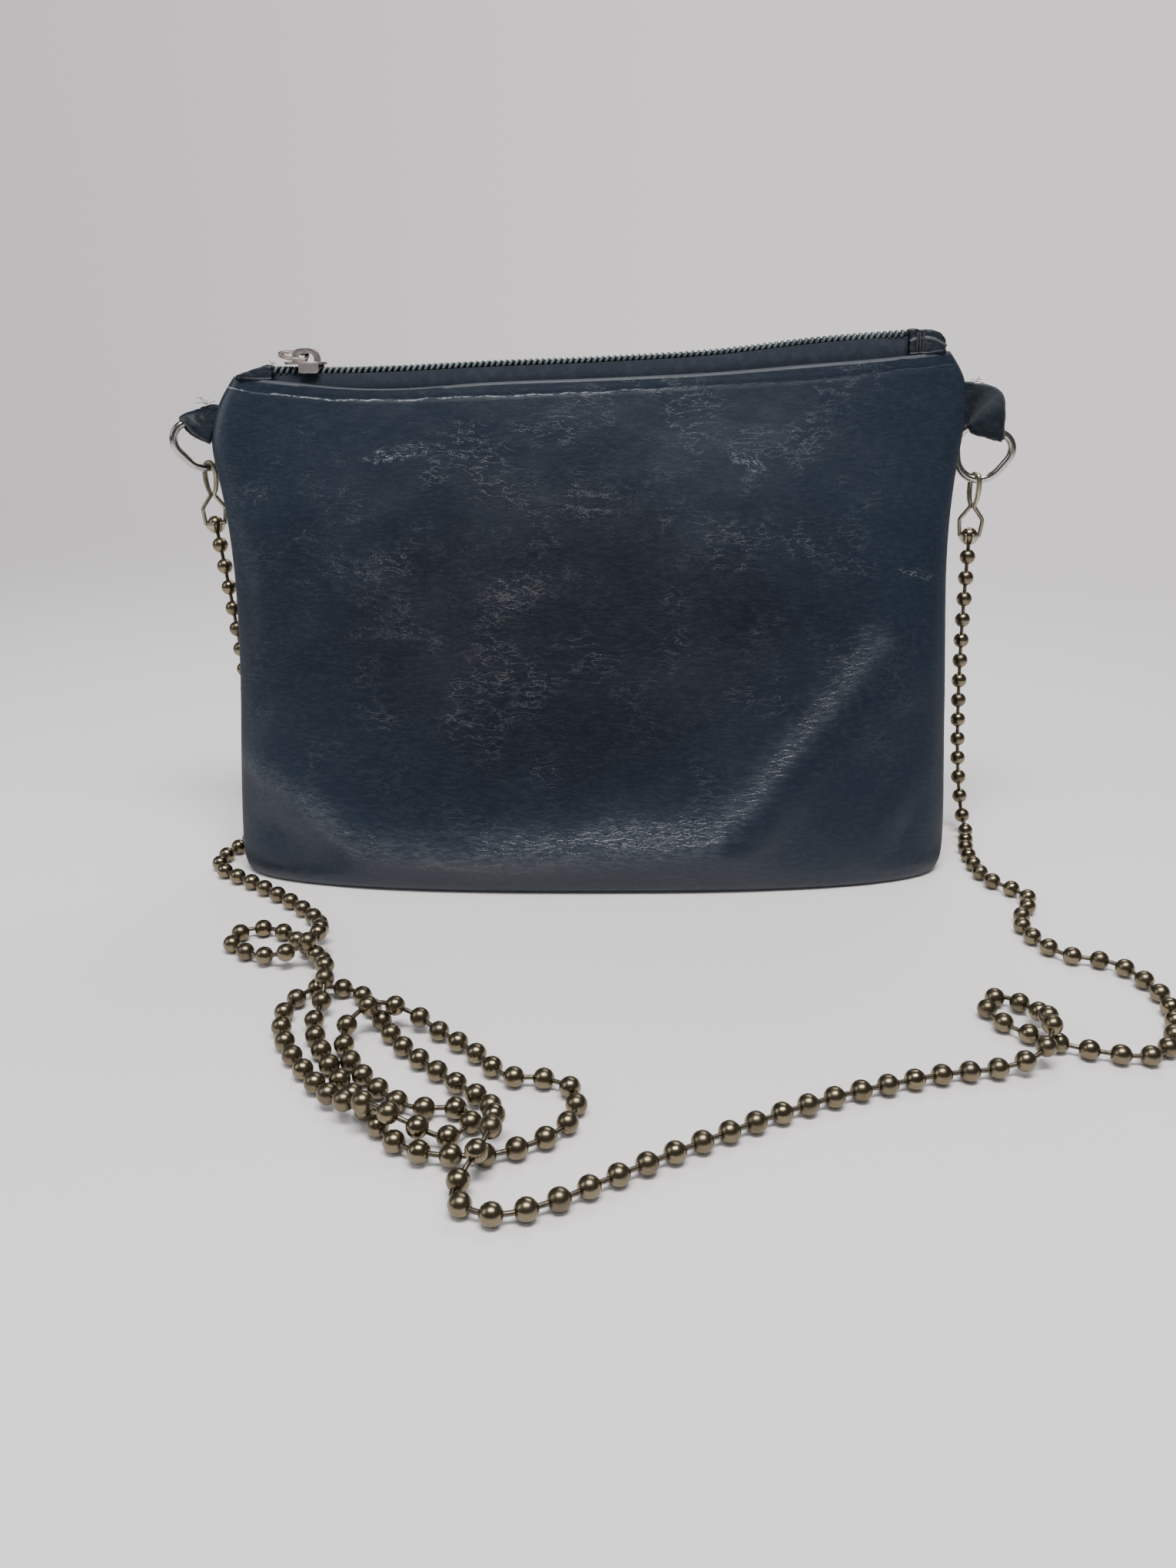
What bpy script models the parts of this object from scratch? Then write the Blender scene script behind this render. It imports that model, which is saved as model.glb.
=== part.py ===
"""A small zipped crossbody pouch of leather on a long ball chain, standing on its flattened base.

Lengths are in metres. The front faces -Y and +Z is up. The origin is the middle of the flattened
base, on the surface that the bag stands on. The pouch is two leather panels that meet at a middle
sheet, which leans back: the side seams lie in that sheet and the bottom seam runs under the base.
"""

import math

import bmesh
import bpy
from mathutils import Matrix, Vector

for old_object in list(bpy.data.objects):
    bpy.data.objects.remove(old_object, do_unlink=True)

MM = 0.001

# Driving dimensions of the pouch
bag_width = 190 * MM
bag_height = 125 * MM
base_depth = 41 * MM
lean_angle = math.radians(12.2)
leather = 1.5 * MM
seam_back = 1.5 * MM
gap = 0.3 * MM

# Driving dimensions of the zip
tape_thickness = 1.0 * MM
tape_below_edge = 9 * MM
tape_rise = 4.8 * MM
coil_width = 5.2 * MM
coil_thickness = 1.8 * MM
zip_left_share = -0.865
zip_right_share = 0.855
zip_end_length = 9.5 * MM
zip_end_width = 6.0 * MM
zip_end_rise = 0.6 * MM

# Driving dimensions of the slider and its pull
slider_share = -0.778
slider_length = 11.2 * MM
slider_plate = 0.7 * MM
slider_flange_length = 5.6 * MM
slider_flange_drop = 2.6 * MM
slider_wall = 0.9 * MM
bridge_length = 7.0 * MM
bridge_width = 2.0 * MM
bridge_thickness = 0.8 * MM
pull_bar_diameter = 0.8 * MM
pull_arm_width = 0.9 * MM
pull_thickness = 0.8 * MM
pull_length = 8.5 * MM
pull_window = 4.4 * MM
pull_hole_radius = 0.8 * MM
pull_arch = 0.6 * MM

# Driving dimensions of the rings, tabs and connectors
ring_wire = 1.6 * MM
ring_width = 12.8 * MM
ring_height = 12.8 * MM
ring_corner_radius = 2.4 * MM
ring_tip_radius = 5.0 * MM
tab_strip = 3.0 * MM
tab_leather = 1.3 * MM
tab_width = 8.8 * MM
connector_wire = 1.0 * MM
connector_cup_radius = 2.6 * MM

# Driving dimensions of the chain
bead_diameter = 4.2 * MM
CHAIN_POINTS = 86

half_width = bag_width / 2
half_depth = base_depth / 2
lean = math.tan(lean_angle)

# The pouch's sections from the bottom seam, round the base and up to the top edge. Heights are
# shares of bag_height, sides of half the width and depths of half the base's depth. The first
# three rows lie flat on the surface that the bag stands on. Squareness is the plan's exponent.
section_columns = ("height", "left", "right", "front", "back", "squareness")
section_rows = [
    (0.000, 0.970, 0.975, 0.000, 0.000, 2.5),
    (0.000, 0.970, 0.975, 0.420, 0.420, 2.5),
    (0.000, 0.970, 0.975, 0.860, 0.780, 2.5),
    (0.006, 0.982, 0.985, 0.985, 0.900, 2.5),
    (0.028, 0.995, 1.000, 1.060, 0.985, 2.5),
    (0.075, 1.000, 1.004, 1.090, 1.030, 2.5),
    (0.150, 1.000, 1.004, 1.070, 1.020, 2.45),
    (0.260, 0.997, 1.000, 0.990, 0.940, 2.4),
    (0.400, 0.993, 0.996, 0.860, 0.830, 2.4),
    (0.540, 0.995, 0.990, 0.710, 0.710, 2.4),
    (0.670, 1.005, 0.990, 0.560, 0.580, 2.5),
    (0.780, 1.027, 1.006, 0.430, 0.450, 2.6),
    (0.870, 1.050, 1.024, 0.330, 0.340, 2.7),
    (0.945, 1.026, 1.022, 0.260, 0.265, 2.9),
    (1.000, 0.980, 0.975, 0.220, 0.220, 3.2),
]
FLAT_ROWS = 2

# The top edge climbs from left to right, and the zip's coil climbs above it. Across is a share of
# half the width, edge a share of bag_height and rise a share of tape_rise.
top_columns = ("across", "edge", "rise")
top_rows = [
    (-1.00, 1.006, 0.44),
    (-0.87, 0.997, 0.56),
    (-0.68, 0.984, 0.87),
    (-0.50, 0.984, 0.98),
    (-0.30, 0.995, 0.90),
    (0.00, 1.003, 0.92),
    (0.32, 1.0135, 1.00),
    (0.61, 1.030, 1.20),
    (0.83, 1.0425, 1.19),
    (1.00, 1.056, 0.95),
]

# The front panel's main folds: each is a ridge or, with a negative push, a hollow along a line.
# X places are shares of half the width. Z places, spread and push are shares of bag_height.
fold_columns = ("x0", "z0", "x1", "z1", "spread", "push")
fold_rows = [
    (-1.00, 0.27, -0.74, 0.145, 0.040, 0.018),
    (-0.74, 0.145, -0.56, 0.080, 0.042, 0.020),
    (-0.56, 0.080, 0.40, 0.080, 0.050, 0.022),
    (0.40, 0.085, 0.60, 0.29, 0.042, 0.018),
    (0.60, 0.29, 0.80, 0.50, 0.044, 0.014),
    (-0.90, 0.10, -0.78, 0.04, 0.064, -0.010),
    (0.86, 0.06, 0.90, 0.34, 0.072, -0.013),
    (-0.35, 0.55, 0.35, 0.52, 0.176, -0.011),
    (-0.20, 0.28, 0.20, 0.27, 0.080, -0.012),
]

# The chain's route from the left connector, over the floor and its own crossings, to the right
# connector. X and Y are in millimetres. Lift is the height above lying flat, in bead diameters.
# The hanging stretches start and end at the connectors, whose points are added to both ends.
route_columns = ("x", "y", "lift")
route_rows = [
    (-99.6, 26.5, 15.8),
    (-97.0, 25.5, 8.5),
    (-95.8, 23.0, 3.0),
    (-96.2, 17.0, 0.4),
    (-97.6, 9.0, 0.0),
    (-100.5, -1.0, 0.0),
    (-98.5, -9.0, 0.0),
    (-87.0, -18.5, 0.0),
    (-74.0, -30.5, 0.0),
    (-66.5, -40.0, 0.05),
    (-63.5, -51.0, 0.75),
    (-64.0, -58.0, 1.06),
    (-69.0, -59.5, 0.5),
    (-77.0, -57.0, 0.0),
    (-84.0, -51.5, 0.0),
    (-82.5, -44.5, 0.0),
    (-75.0, -44.5, 0.0),
    (-67.0, -52.5, 0.0),
    (-60.5, -63.0, 0.5),
    (-57.6, -72.5, 1.08),
    (-57.0, -80.0, 0.3),
    (-57.0, -88.0, 0.0),
    (-51.0, -101.5, 0.0),
    (-42.0, -115.0, 0.0),
    (-35.5, -124.5, 0.0),
    (-27.5, -129.0, 0.1),
    (-16.0, -128.0, 0.0),
    (-5.5, -121.0, 0.0),
    (-3.4, -110.5, 0.0),
    (-9.5, -105.9, 0.0),
    (-16.8, -104.8, 0.0),
    (-23.0, -97.4, 0.0),
    (-31.0, -89.5, 0.0),
    (-37.5, -84.8, 0.4),
    (-44.5, -85.8, 1.06),
    (-50.0, -89.5, 0.3),
    (-48.0, -98.5, 0.0),
    (-41.0, -108.5, 0.0),
    (-33.5, -114.8, 0.0),
    (-24.8, -115.4, 0.0),
    (-22.0, -119.3, 0.0),
    (-26.0, -124.0, 0.05),
    (-33.0, -123.2, 0.7),
    (-40.0, -120.3, 1.1),
    (-47.0, -114.5, 0.35),
    (-54.0, -105.5, 0.0),
    (-61.5, -93.5, 0.0),
    (-64.5, -81.5, 0.0),
    (-60.0, -72.0, 0.0),
    (-51.0, -73.5, 0.0),
    (-45.3, -82.0, 0.0),
    (-38.5, -94.0, 0.0),
    (-29.0, -104.5, 0.0),
    (-20.0, -113.8, 0.15),
    (-17.6, -122.0, 0.75),
    (-18.4, -129.8, 1.12),
    (-21.8, -134.8, 0.3),
    (-23.0, -140.0, 0.0),
    (-16.0, -143.6, 0.0),
    (-6.6, -140.4, 0.0),
    (3.0, -134.5, 0.0),
    (22.5, -123.0, 0.0),
    (43.0, -112.5, 0.0),
    (65.0, -105.0, 0.0),
    (78.5, -102.6, 0.05),
    (87.0, -99.8, 0.5),
    (91.0, -93.0, 1.1),
    (92.0, -82.5, 0.2),
    (87.0, -75.5, 0.0),
    (82.5, -81.0, 0.0),
    (87.0, -89.6, 0.0),
    (99.0, -96.5, 0.0),
    (110.5, -97.8, 0.0),
    (118.5, -88.0, 0.0),
    (121.8, -75.0, 0.0),
    (118.0, -61.5, 0.0),
    (107.5, -56.0, 0.0),
    (103.3, -45.5, 0.0),
    (104.6, -37.6, 0.0),
    (109.8, -28.6, 0.0),
    (108.8, -23.0, 0.0),
    (103.2, -13.5, 0.0),
    (103.5, 3.0, 0.0),
    (107.3, 17.0, 0.1),
    (107.2, 24.0, 1.6),
    (105.0, 25.5, 5.8),
    (103.0, 25.8, 12.5),
]


def smooth_read(rows, column, position):
    """Reads a table's column on a smooth curve through its rows, whose places are column 0."""
    last = len(rows) - 1
    place = min(max(position, rows[0][0]), rows[last][0])
    index = 0
    while index < last - 1 and rows[index + 1][0] < place:
        index += 1
    step = rows[index + 1][0] - rows[index][0]
    share = (place - rows[index][0]) / step
    before = rows[max(index - 1, 0)]
    after = rows[min(index + 2, last)]
    start = rows[index]
    end = rows[index + 1]
    start_slope = (end[column] - before[column]) / (end[0] - before[0]) * step
    end_slope = (after[column] - start[column]) / (after[0] - start[0]) * step
    square = share * share
    cube = square * share
    return (
        (2 * cube - 3 * square + 1) * start[column]
        + (cube - 2 * square + share) * start_slope
        + (3 * square - 2 * cube) * end[column]
        + (cube - square) * end_slope
    )


numbered_sections = [(number,) + row for number, row in enumerate(section_rows)]
height_sections = section_rows[FLAT_ROWS:]


def section(name, row):
    """A section value at a row number, which may lie between two rows."""
    return smooth_read(numbered_sections, 1 + section_columns.index(name), row)


def edge_height(across):
    return bag_height * smooth_read(top_rows, top_columns.index("edge"), across)


def coil_height(across):
    """The height of the coil's middle above the floor."""
    return edge_height(across) + tape_rise * smooth_read(top_rows, top_columns.index("rise"), across)


def plan_depth(across, squareness):
    """The share of the full depth that the plan has at a share of the half width."""
    return (1 - min(abs(across), 1) ** squareness) ** (1 / squareness)


def side_x(sign, height):
    """Where the side seam lies at a height, as an X."""
    side = "left" if sign < 0 else "right"
    share = smooth_read(height_sections, section_columns.index(side), height / edge_height(sign))
    return sign * half_width * share


def fold_push(x, z):
    """How far the folds push the front panel forward at a place. Folds that meet don't add up."""
    ridge = 0.0
    hollow = 0.0
    for x0, z0, x1, z1, spread, push in fold_rows:
        start = Vector((x0 * half_width, z0 * bag_height))
        run = Vector((x1 * half_width, z1 * bag_height)) - start
        along = (Vector((x, z)) - start).dot(run) / run.length_squared
        near = start + run * min(max(along, 0), 1)
        away = (Vector((x, z)) - near).length / (spread * bag_height)
        here = push * bag_height * math.exp(-away * away)
        ridge = max(ridge, here)
        hollow = min(hollow, here)
    return ridge + hollow


def pouch_point(facing, across, row, inset):
    """A point of one panel: facing is -1 for the front and 1 for the back, inset the wall inwards."""
    side = section("left" if across < 0 else "right", max(row, FLAT_ROWS))
    depth_share = section("front" if facing < 0 else "back", row)
    plan = plan_depth(across, section("squareness", max(row, FLAT_ROWS)))
    x = across * (half_width * side - inset)
    z = max(section("height", row) * edge_height(across), inset)
    flat_share = min(row / FLAT_ROWS, 1)
    depth = (depth_share * half_depth - inset * flat_share) * plan
    if facing < 0:
        rising = min(z / (0.1 * bag_height), 1)
        falling = min(max(1 - z / bag_height, 0) / 0.12, 1)
        depth += fold_push(x, z) * plan * rising * falling
    seam_shift = seam_back * plan * (1 - flat_share)
    return Vector((x, z * lean + seam_shift + facing * (max(depth, 0) + gap / 2), z))


def make_material(name, colour, roughness, metallic):
    material = bpy.data.materials.new(name)
    material.use_nodes = True
    shader = material.node_tree.nodes["Principled BSDF"]
    shader.inputs["Base Color"].default_value = (*colour, 1)
    shader.inputs["Roughness"].default_value = roughness
    shader.inputs["Metallic"].default_value = metallic
    material.diffuse_color = (*colour, 1)
    return material


NAVY_LEATHER = ((0.020, 0.028, 0.042), 0.45, 0.0)
NAVY_TAPE = ((0.015, 0.020, 0.030), 0.85, 0.0)
NICKEL = ((0.62, 0.60, 0.56), 0.25, 1.0)
ANTIQUE_BRASS = ((0.30, 0.24, 0.15), 0.32, 1.0)


def add_object(name, mesh, finish):
    thing = bpy.data.objects.new(name, mesh)
    bpy.context.scene.collection.objects.link(thing)
    mesh.materials.clear()
    mesh.materials.append(make_material(name, *finish))
    return thing


def mesh_from(name, shape, merge=0.0):
    """Turns a bmesh into a mesh with its doubles merged and its faces pointing outwards."""
    bmesh.ops.remove_doubles(shape, verts=shape.verts, dist=merge or 1e-7)
    bmesh.ops.recalc_face_normals(shape, faces=shape.faces)
    mesh = bpy.data.meshes.new(name)
    shape.to_mesh(mesh)
    shape.free()
    return mesh


def wall_mesh(name, outer, inner):
    """A wall between two like grids of points, closed round its four edges."""
    shape = bmesh.new()
    grids = [[[shape.verts.new(point) for point in line] for line in grid] for grid in (outer, inner)]
    rows = len(outer)
    columns = len(outer[0])
    for grid in grids:
        for i in range(rows - 1):
            for j in range(columns - 1):
                shape.faces.new((grid[i][j], grid[i][j + 1], grid[i + 1][j + 1], grid[i + 1][j]))
    rim = [(0, j) for j in range(columns)]
    rim += [(i, columns - 1) for i in range(1, rows)]
    rim += [(rows - 1, j) for j in range(columns - 2, -1, -1)]
    rim += [(i, 0) for i in range(rows - 2, 0, -1)]
    for number, (i, j) in enumerate(rim):
        k, m = rim[(number + 1) % len(rim)]
        shape.faces.new((grids[0][i][j], grids[0][k][m], grids[1][k][m], grids[1][i][j]))
    return shape


def spread_columns(count):
    """Shares from -1 to 1, closer together towards the sides, where the plan turns fast."""
    shares = []
    for number in range(count + 1):
        place = 2 * number / count - 1
        shares.append(math.copysign(1 - (1 - abs(place)) ** 1.6, place))
    return shares


def make_panel(name, facing, columns, steps):
    """One leather panel: half of the pouch, from the bottom seam round to the top edge."""
    rows = [number / steps for number in range((len(section_rows) - 1) * steps + 1)]
    shares = spread_columns(columns)
    outer = [[pouch_point(facing, share, row, 0) for share in shares] for row in rows]
    inner = [[pouch_point(facing, share, row, leather) for share in shares] for row in rows]
    shape = wall_mesh(name, outer, inner)
    mesh = mesh_from(name, shape, 2e-6)
    mesh.shade_smooth()
    mesh.set_sharp_from_angle(angle=math.radians(40))
    return add_object(name, mesh, NAVY_LEATHER)


def tape_depth(x):
    """How far from the middle sheet a tape's outer face lies, just inside the panel's top edge."""
    row = len(section_rows) - 1
    half_mouth = half_width * section("left" if x < 0 else "right", row) - leather
    mouth_depth = section("front", row) * half_depth - leather
    return mouth_depth * plan_depth(x / half_mouth, section("squareness", row)) - gap


def make_tape(name, facing, columns=24):
    """A zip tape: it hangs inside the panel's top edge and rises above it to the coil."""
    low = []
    high = []
    for number in range(columns + 1):
        across = zip_left_share + (zip_right_share - zip_left_share) * number / columns
        top = coil_height(across) - coil_thickness / 2 - gap
        bottom = edge_height(across) - tape_below_edge
        x = across * half_width
        outside = tape_depth(x)
        inside = outside - tape_thickness
        for line, depth in ((low, outside), (high, inside)):
            line.append([Vector((x, z * lean + facing * depth, z)) for z in (bottom, top)])
    mesh = mesh_from(name, wall_mesh(name, low, high))
    return add_object(name, mesh, NAVY_TAPE)


def make_coil(columns=40):
    """The zip's closed teeth as one bar along the top, resting on both tapes."""
    shape = bmesh.new()
    loops = []
    for number in range(columns + 1):
        across = zip_left_share + (zip_right_share - zip_left_share) * number / columns
        middle = Vector((across * half_width, coil_height(across) * lean, coil_height(across)))
        loop = []
        for sides in ((-1, -0.5), (-1, 0.5), (-0.6, 1), (0.6, 1), (1, 0.5), (1, -0.5), (0.6, -1), (-0.6, -1)):
            offset = Vector((0, sides[0] * coil_width / 2, sides[1] * coil_thickness / 2))
            loop.append(shape.verts.new(middle + offset))
        loops.append(loop)
    for first, second in zip(loops, loops[1:]):
        for k in range(len(first)):
            m = (k + 1) % len(first)
            shape.faces.new((first[k], first[m], second[m], second[k]))
    shape.faces.new(loops[0])
    shape.faces.new(loops[-1])
    return add_object("zip_coil", mesh_from("zip_coil", shape), NAVY_TAPE)


def block_mesh(name, outline, depth, bevel):
    """An outline of XZ points, pushed out by half the depth to each side along Y, with soft edges."""
    shape = bmesh.new()
    front = [shape.verts.new((x, -depth / 2, z)) for x, z in outline]
    back = [shape.verts.new((x, depth / 2, z)) for x, z in outline]
    shape.faces.new(front)
    shape.faces.new(back)
    for k in range(len(outline)):
        m = (k + 1) % len(outline)
        shape.faces.new((front[k], front[m], back[m], back[k]))
    if bevel:
        bmesh.ops.bevel(shape, geom=shape.edges, offset=bevel, segments=1, affect="EDGES")
    return mesh_from(name, shape)


def bake(thing):
    """Applies the object's modifiers to a mesh of its own."""
    graph = bpy.context.evaluated_depsgraph_get()
    mesh = bpy.data.meshes.new_from_object(thing.evaluated_get(graph))
    thing.modifiers.clear()
    thing.data = mesh


def combine(thing, other, operation):
    """A Boolean with another object, which is deleted after it."""
    modifier = thing.modifiers.new(operation.lower(), "BOOLEAN")
    modifier.operation = operation
    modifier.object = other
    bpy.context.view_layer.update()
    bake(thing)
    bpy.data.objects.remove(other, do_unlink=True)


def cutter(name, mesh):
    thing = bpy.data.objects.new(name, mesh)
    bpy.context.scene.collection.objects.link(thing)
    return thing


def make_zip_end(name, sign):
    """The folded leather piece on an end of the zip, pressed flat on the panels' top edges."""
    share = zip_right_share if sign > 0 else zip_left_share
    start = share * half_width + sign * gap
    end = start + sign * zip_end_length
    top = coil_height(share) + coil_thickness / 2 + zip_end_rise
    near_edge = edge_height(start / half_width) + 1.7 * gap
    far_edge = edge_height(end / half_width) + 1.7 * gap
    drop = (top - far_edge) * (0.15 if sign > 0 else 0.80)
    outline = [
        (start, near_edge),
        (end, far_edge),
        (end, top - drop - zip_end_length * 0.12),
        (end - sign * zip_end_length * 0.14, top - drop),
        (start + sign * zip_end_length * 0.16, top),
        (start, top - zip_end_length * 0.06),
    ]
    thing = add_object(name, block_mesh(name, outline, zip_end_width, 0.35 * MM), NAVY_LEATHER)
    for vertex in thing.data.vertices:
        vertex.co.y += vertex.co.z * lean
    return thing


# The slider rides on the coil, so every height on it is counted from the coil's top
slider_x = slider_share * half_width
slider_y = coil_height(slider_share) * lean
plate_low = coil_height(slider_share) + coil_thickness / 2 + 2 * gap
plate_top = plate_low + slider_plate
pivot_z = plate_top + gap + pull_bar_diameter
pull_inner_half = bridge_width / 2 + gap
slider_inner_half = coil_width / 2 + 1.5 * gap


def box_mesh(name, low, high):
    shape = bmesh.new()
    bmesh.ops.create_cube(shape, size=1)
    middle = (Vector(low) + Vector(high)) / 2
    size = Vector(high) - Vector(low)
    for vertex in shape.verts:
        vertex.co = Vector(vertex.co[axis] * size[axis] + middle[axis] for axis in range(3))
    return mesh_from(name, shape)


def make_slider():
    """The slider: a plate over the coil, a flange down each side and the bridge on top."""
    flange_low = plate_low + slider_plate / 2 - slider_flange_drop
    outer_half = slider_inner_half + slider_wall
    plate = [
        (-0.50 * slider_length, 0.55 * outer_half),
        (-0.30 * slider_length, outer_half),
        (0.32 * slider_length, outer_half),
        (0.50 * slider_length, 0.70 * outer_half),
    ]
    shape = bmesh.new()
    outline = plate + [(x, -y) for x, y in reversed(plate)]
    low = [shape.verts.new((slider_x + x, slider_y + y, plate_low)) for x, y in outline]
    high = [shape.verts.new((slider_x + x, slider_y + y, plate_top)) for x, y in outline]
    shape.faces.new(low)
    shape.faces.new(high)
    for k in range(len(outline)):
        m = (k + 1) % len(outline)
        shape.faces.new((low[k], low[m], high[m], high[k]))
    slider = add_object("zip_slider", mesh_from("zip_slider", shape), NICKEL)
    for sign in (-1, 1):
        near = slider_y + sign * slider_inner_half
        far = slider_y + sign * (outer_half - 0.02 * MM)
        low_corner = (slider_x - slider_flange_length / 2, min(near, far), flange_low)
        high_corner = (slider_x + slider_flange_length / 2, max(near, far), plate_low + slider_plate / 2)
        combine(slider, cutter("flange", box_mesh("flange", low_corner, high_corner)), "UNION")
    inner_top = pivot_z + pull_bar_diameter / 2 + gap
    half = bridge_length / 2
    foot = plate_top - slider_plate / 2
    corner = 0.3 * half
    inner_half = half - bridge_thickness
    arch = [
        (-half, foot),
        (-half, inner_top - corner),
        (-half + corner, inner_top + bridge_thickness),
        (half - corner, inner_top + bridge_thickness),
        (half, inner_top - corner),
        (half, foot),
        (inner_half, foot),
        (inner_half, inner_top - corner),
        (inner_half - corner, inner_top),
        (-inner_half + corner, inner_top),
        (-inner_half, inner_top - corner),
        (-inner_half, foot),
    ]
    arch_mesh = block_mesh("bridge", arch, bridge_width, 0)
    arch_mesh.transform(Matrix.Translation((slider_x, slider_y, 0)))
    combine(slider, cutter("bridge", arch_mesh), "UNION")
    return slider


def make_pull():
    """The pull: two arms and a bar round the bridge, a narrow arched tongue and a hole in its end."""
    half = pull_inner_half + pull_arm_width
    stations = [
        (pull_bar_diameter / 2, 1.0),
        (-pull_window * 0.5, 1.0),
        (-pull_window, 1.0),
        (-pull_window - 0.20 * pull_length, 0.80),
        (-0.86 * pull_length, 0.80),
        (-0.97 * pull_length, 0.62),
        (-pull_length, 0.35),
    ]
    shape = bmesh.new()
    loops = []
    for x, share in stations:
        bow = pull_arch * math.sin(math.pi * min(max(-x / pull_length, 0), 1) * 0.75)
        loop = []
        for y, z in ((-1, -1), (1, -1), (1, 1), (-1, 1)):
            loop.append(shape.verts.new((x, y * half * share, bow + z * pull_thickness / 2)))
        loops.append(loop)
    for first, second in zip(loops, loops[1:]):
        for k in range(4):
            m = (k + 1) % 4
            shape.faces.new((first[k], first[m], second[m], second[k]))
    shape.faces.new(loops[0])
    shape.faces.new(loops[-1])
    pull = add_object("zip_pull", mesh_from("zip_pull", shape), NICKEL)
    high = pull_thickness * 3
    window_start = -pull_bar_diameter / 2
    window = box_mesh("window", (-pull_window, -pull_inner_half, -high), (window_start, pull_inner_half, high))
    combine(pull, cutter("window", window), "DIFFERENCE")
    shape = bmesh.new()
    bmesh.ops.create_cone(
        shape, cap_ends=True, segments=14, radius1=pull_hole_radius, radius2=pull_hole_radius, depth=high * 2
    )
    hole = mesh_from("hole", shape)
    hole.transform(Matrix.Translation((-0.82 * pull_length, 0, 0)))
    combine(pull, cutter("hole", hole), "DIFFERENCE")
    pull.location = (slider_x, slider_y, pivot_z)
    return pull


def rounded_outline(circles, steps):
    """The outline round three or more circles of (x, z, radius), listed anticlockwise."""
    points = []
    count = len(circles)
    normals = []
    for number in range(count):
        x0, z0, r0 = circles[number]
        x1, z1, r1 = circles[(number + 1) % count]
        distance = math.hypot(x1 - x0, z1 - z0)
        normals.append(math.atan2(z1 - z0, x1 - x0) - math.acos((r0 - r1) / distance))
    for number in range(count):
        x, z, radius = circles[number]
        start = normals[number - 1]
        turn = (normals[number] - start) % (2 * math.pi)
        for step in range(steps + 1):
            angle = start + turn * step / steps
            points.append((x + radius * math.cos(angle), z + radius * math.sin(angle)))
    return points


def make_wire(name, points, diameter, closed, resolution):
    """A mesh made from a curve object with a round bevel."""
    curve = bpy.data.curves.new(name, "CURVE")
    curve.dimensions = "3D"
    curve.bevel_depth = diameter / 2
    curve.bevel_resolution = resolution
    curve.use_fill_caps = True
    spline = curve.splines.new("POLY")
    spline.points.add(len(points) - 1)
    for knot, point in zip(spline.points, points):
        knot.co = (*point, 1)
    spline.use_cyclic_u = closed
    thing = bpy.data.objects.new(name, curve)
    bpy.context.scene.collection.objects.link(thing)
    return thing


def wire_object(name, points, diameter, resolution, finish):
    """A closed wire as a mesh object."""
    guide = make_wire(name + "_guide", points, diameter, True, resolution)
    bpy.context.view_layer.update()
    graph = bpy.context.evaluated_depsgraph_get()
    mesh = bpy.data.meshes.new_from_object(guide.evaluated_get(graph))
    bpy.data.objects.remove(guide, do_unlink=True)
    shape = bmesh.new()
    shape.from_mesh(mesh)
    return add_object(name, mesh_from(name, shape), finish)


ring_corner_x = ring_width / 2 - ring_corner_radius
ring_circles = [
    (-ring_corner_x, -ring_corner_radius, ring_corner_radius),
    (0, -ring_height + ring_tip_radius, ring_tip_radius),
    (ring_corner_x, -ring_corner_radius, ring_corner_radius),
]

# How each ring hangs: the side, the bar's height as a share of bag_height, how far the bar's
# middle is from the side seam, the ring's turn about Z and then Y, and the tab's rise over the bar
ring_poses = {
    "left": (-1, 0.918, 5.9 * MM, math.radians(28), math.radians(-20), 5.0 * MM),
    "right": (1, 0.898, 7.0 * MM, math.radians(-15), math.radians(14), 12.0 * MM),
}


def ring_frame(side):
    """The place of a ring's bar: its middle, with X along the bar."""
    sign, height_share, bar_reach, yaw, roll, _ = ring_poses[side]
    z = height_share * bag_height
    x = side_x(sign, z) + sign * bar_reach
    behind = abs(math.sin(yaw)) * ring_width / 2
    place = Matrix.Translation((x, z * lean + behind, z))
    return place @ Matrix.Rotation(yaw, 4, "Z") @ Matrix.Rotation(roll, 4, "Y")


def make_ring(side):
    """A D-ring of round wire, its straight bar inside the tab's fold."""
    outline = rounded_outline(ring_circles, 6)
    frame = ring_frame(side)
    points = [frame @ Vector((x, 0, z)) for x, z in outline]
    return wire_object("d_ring_" + side, points, ring_wire, 2, NICKEL)


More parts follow.
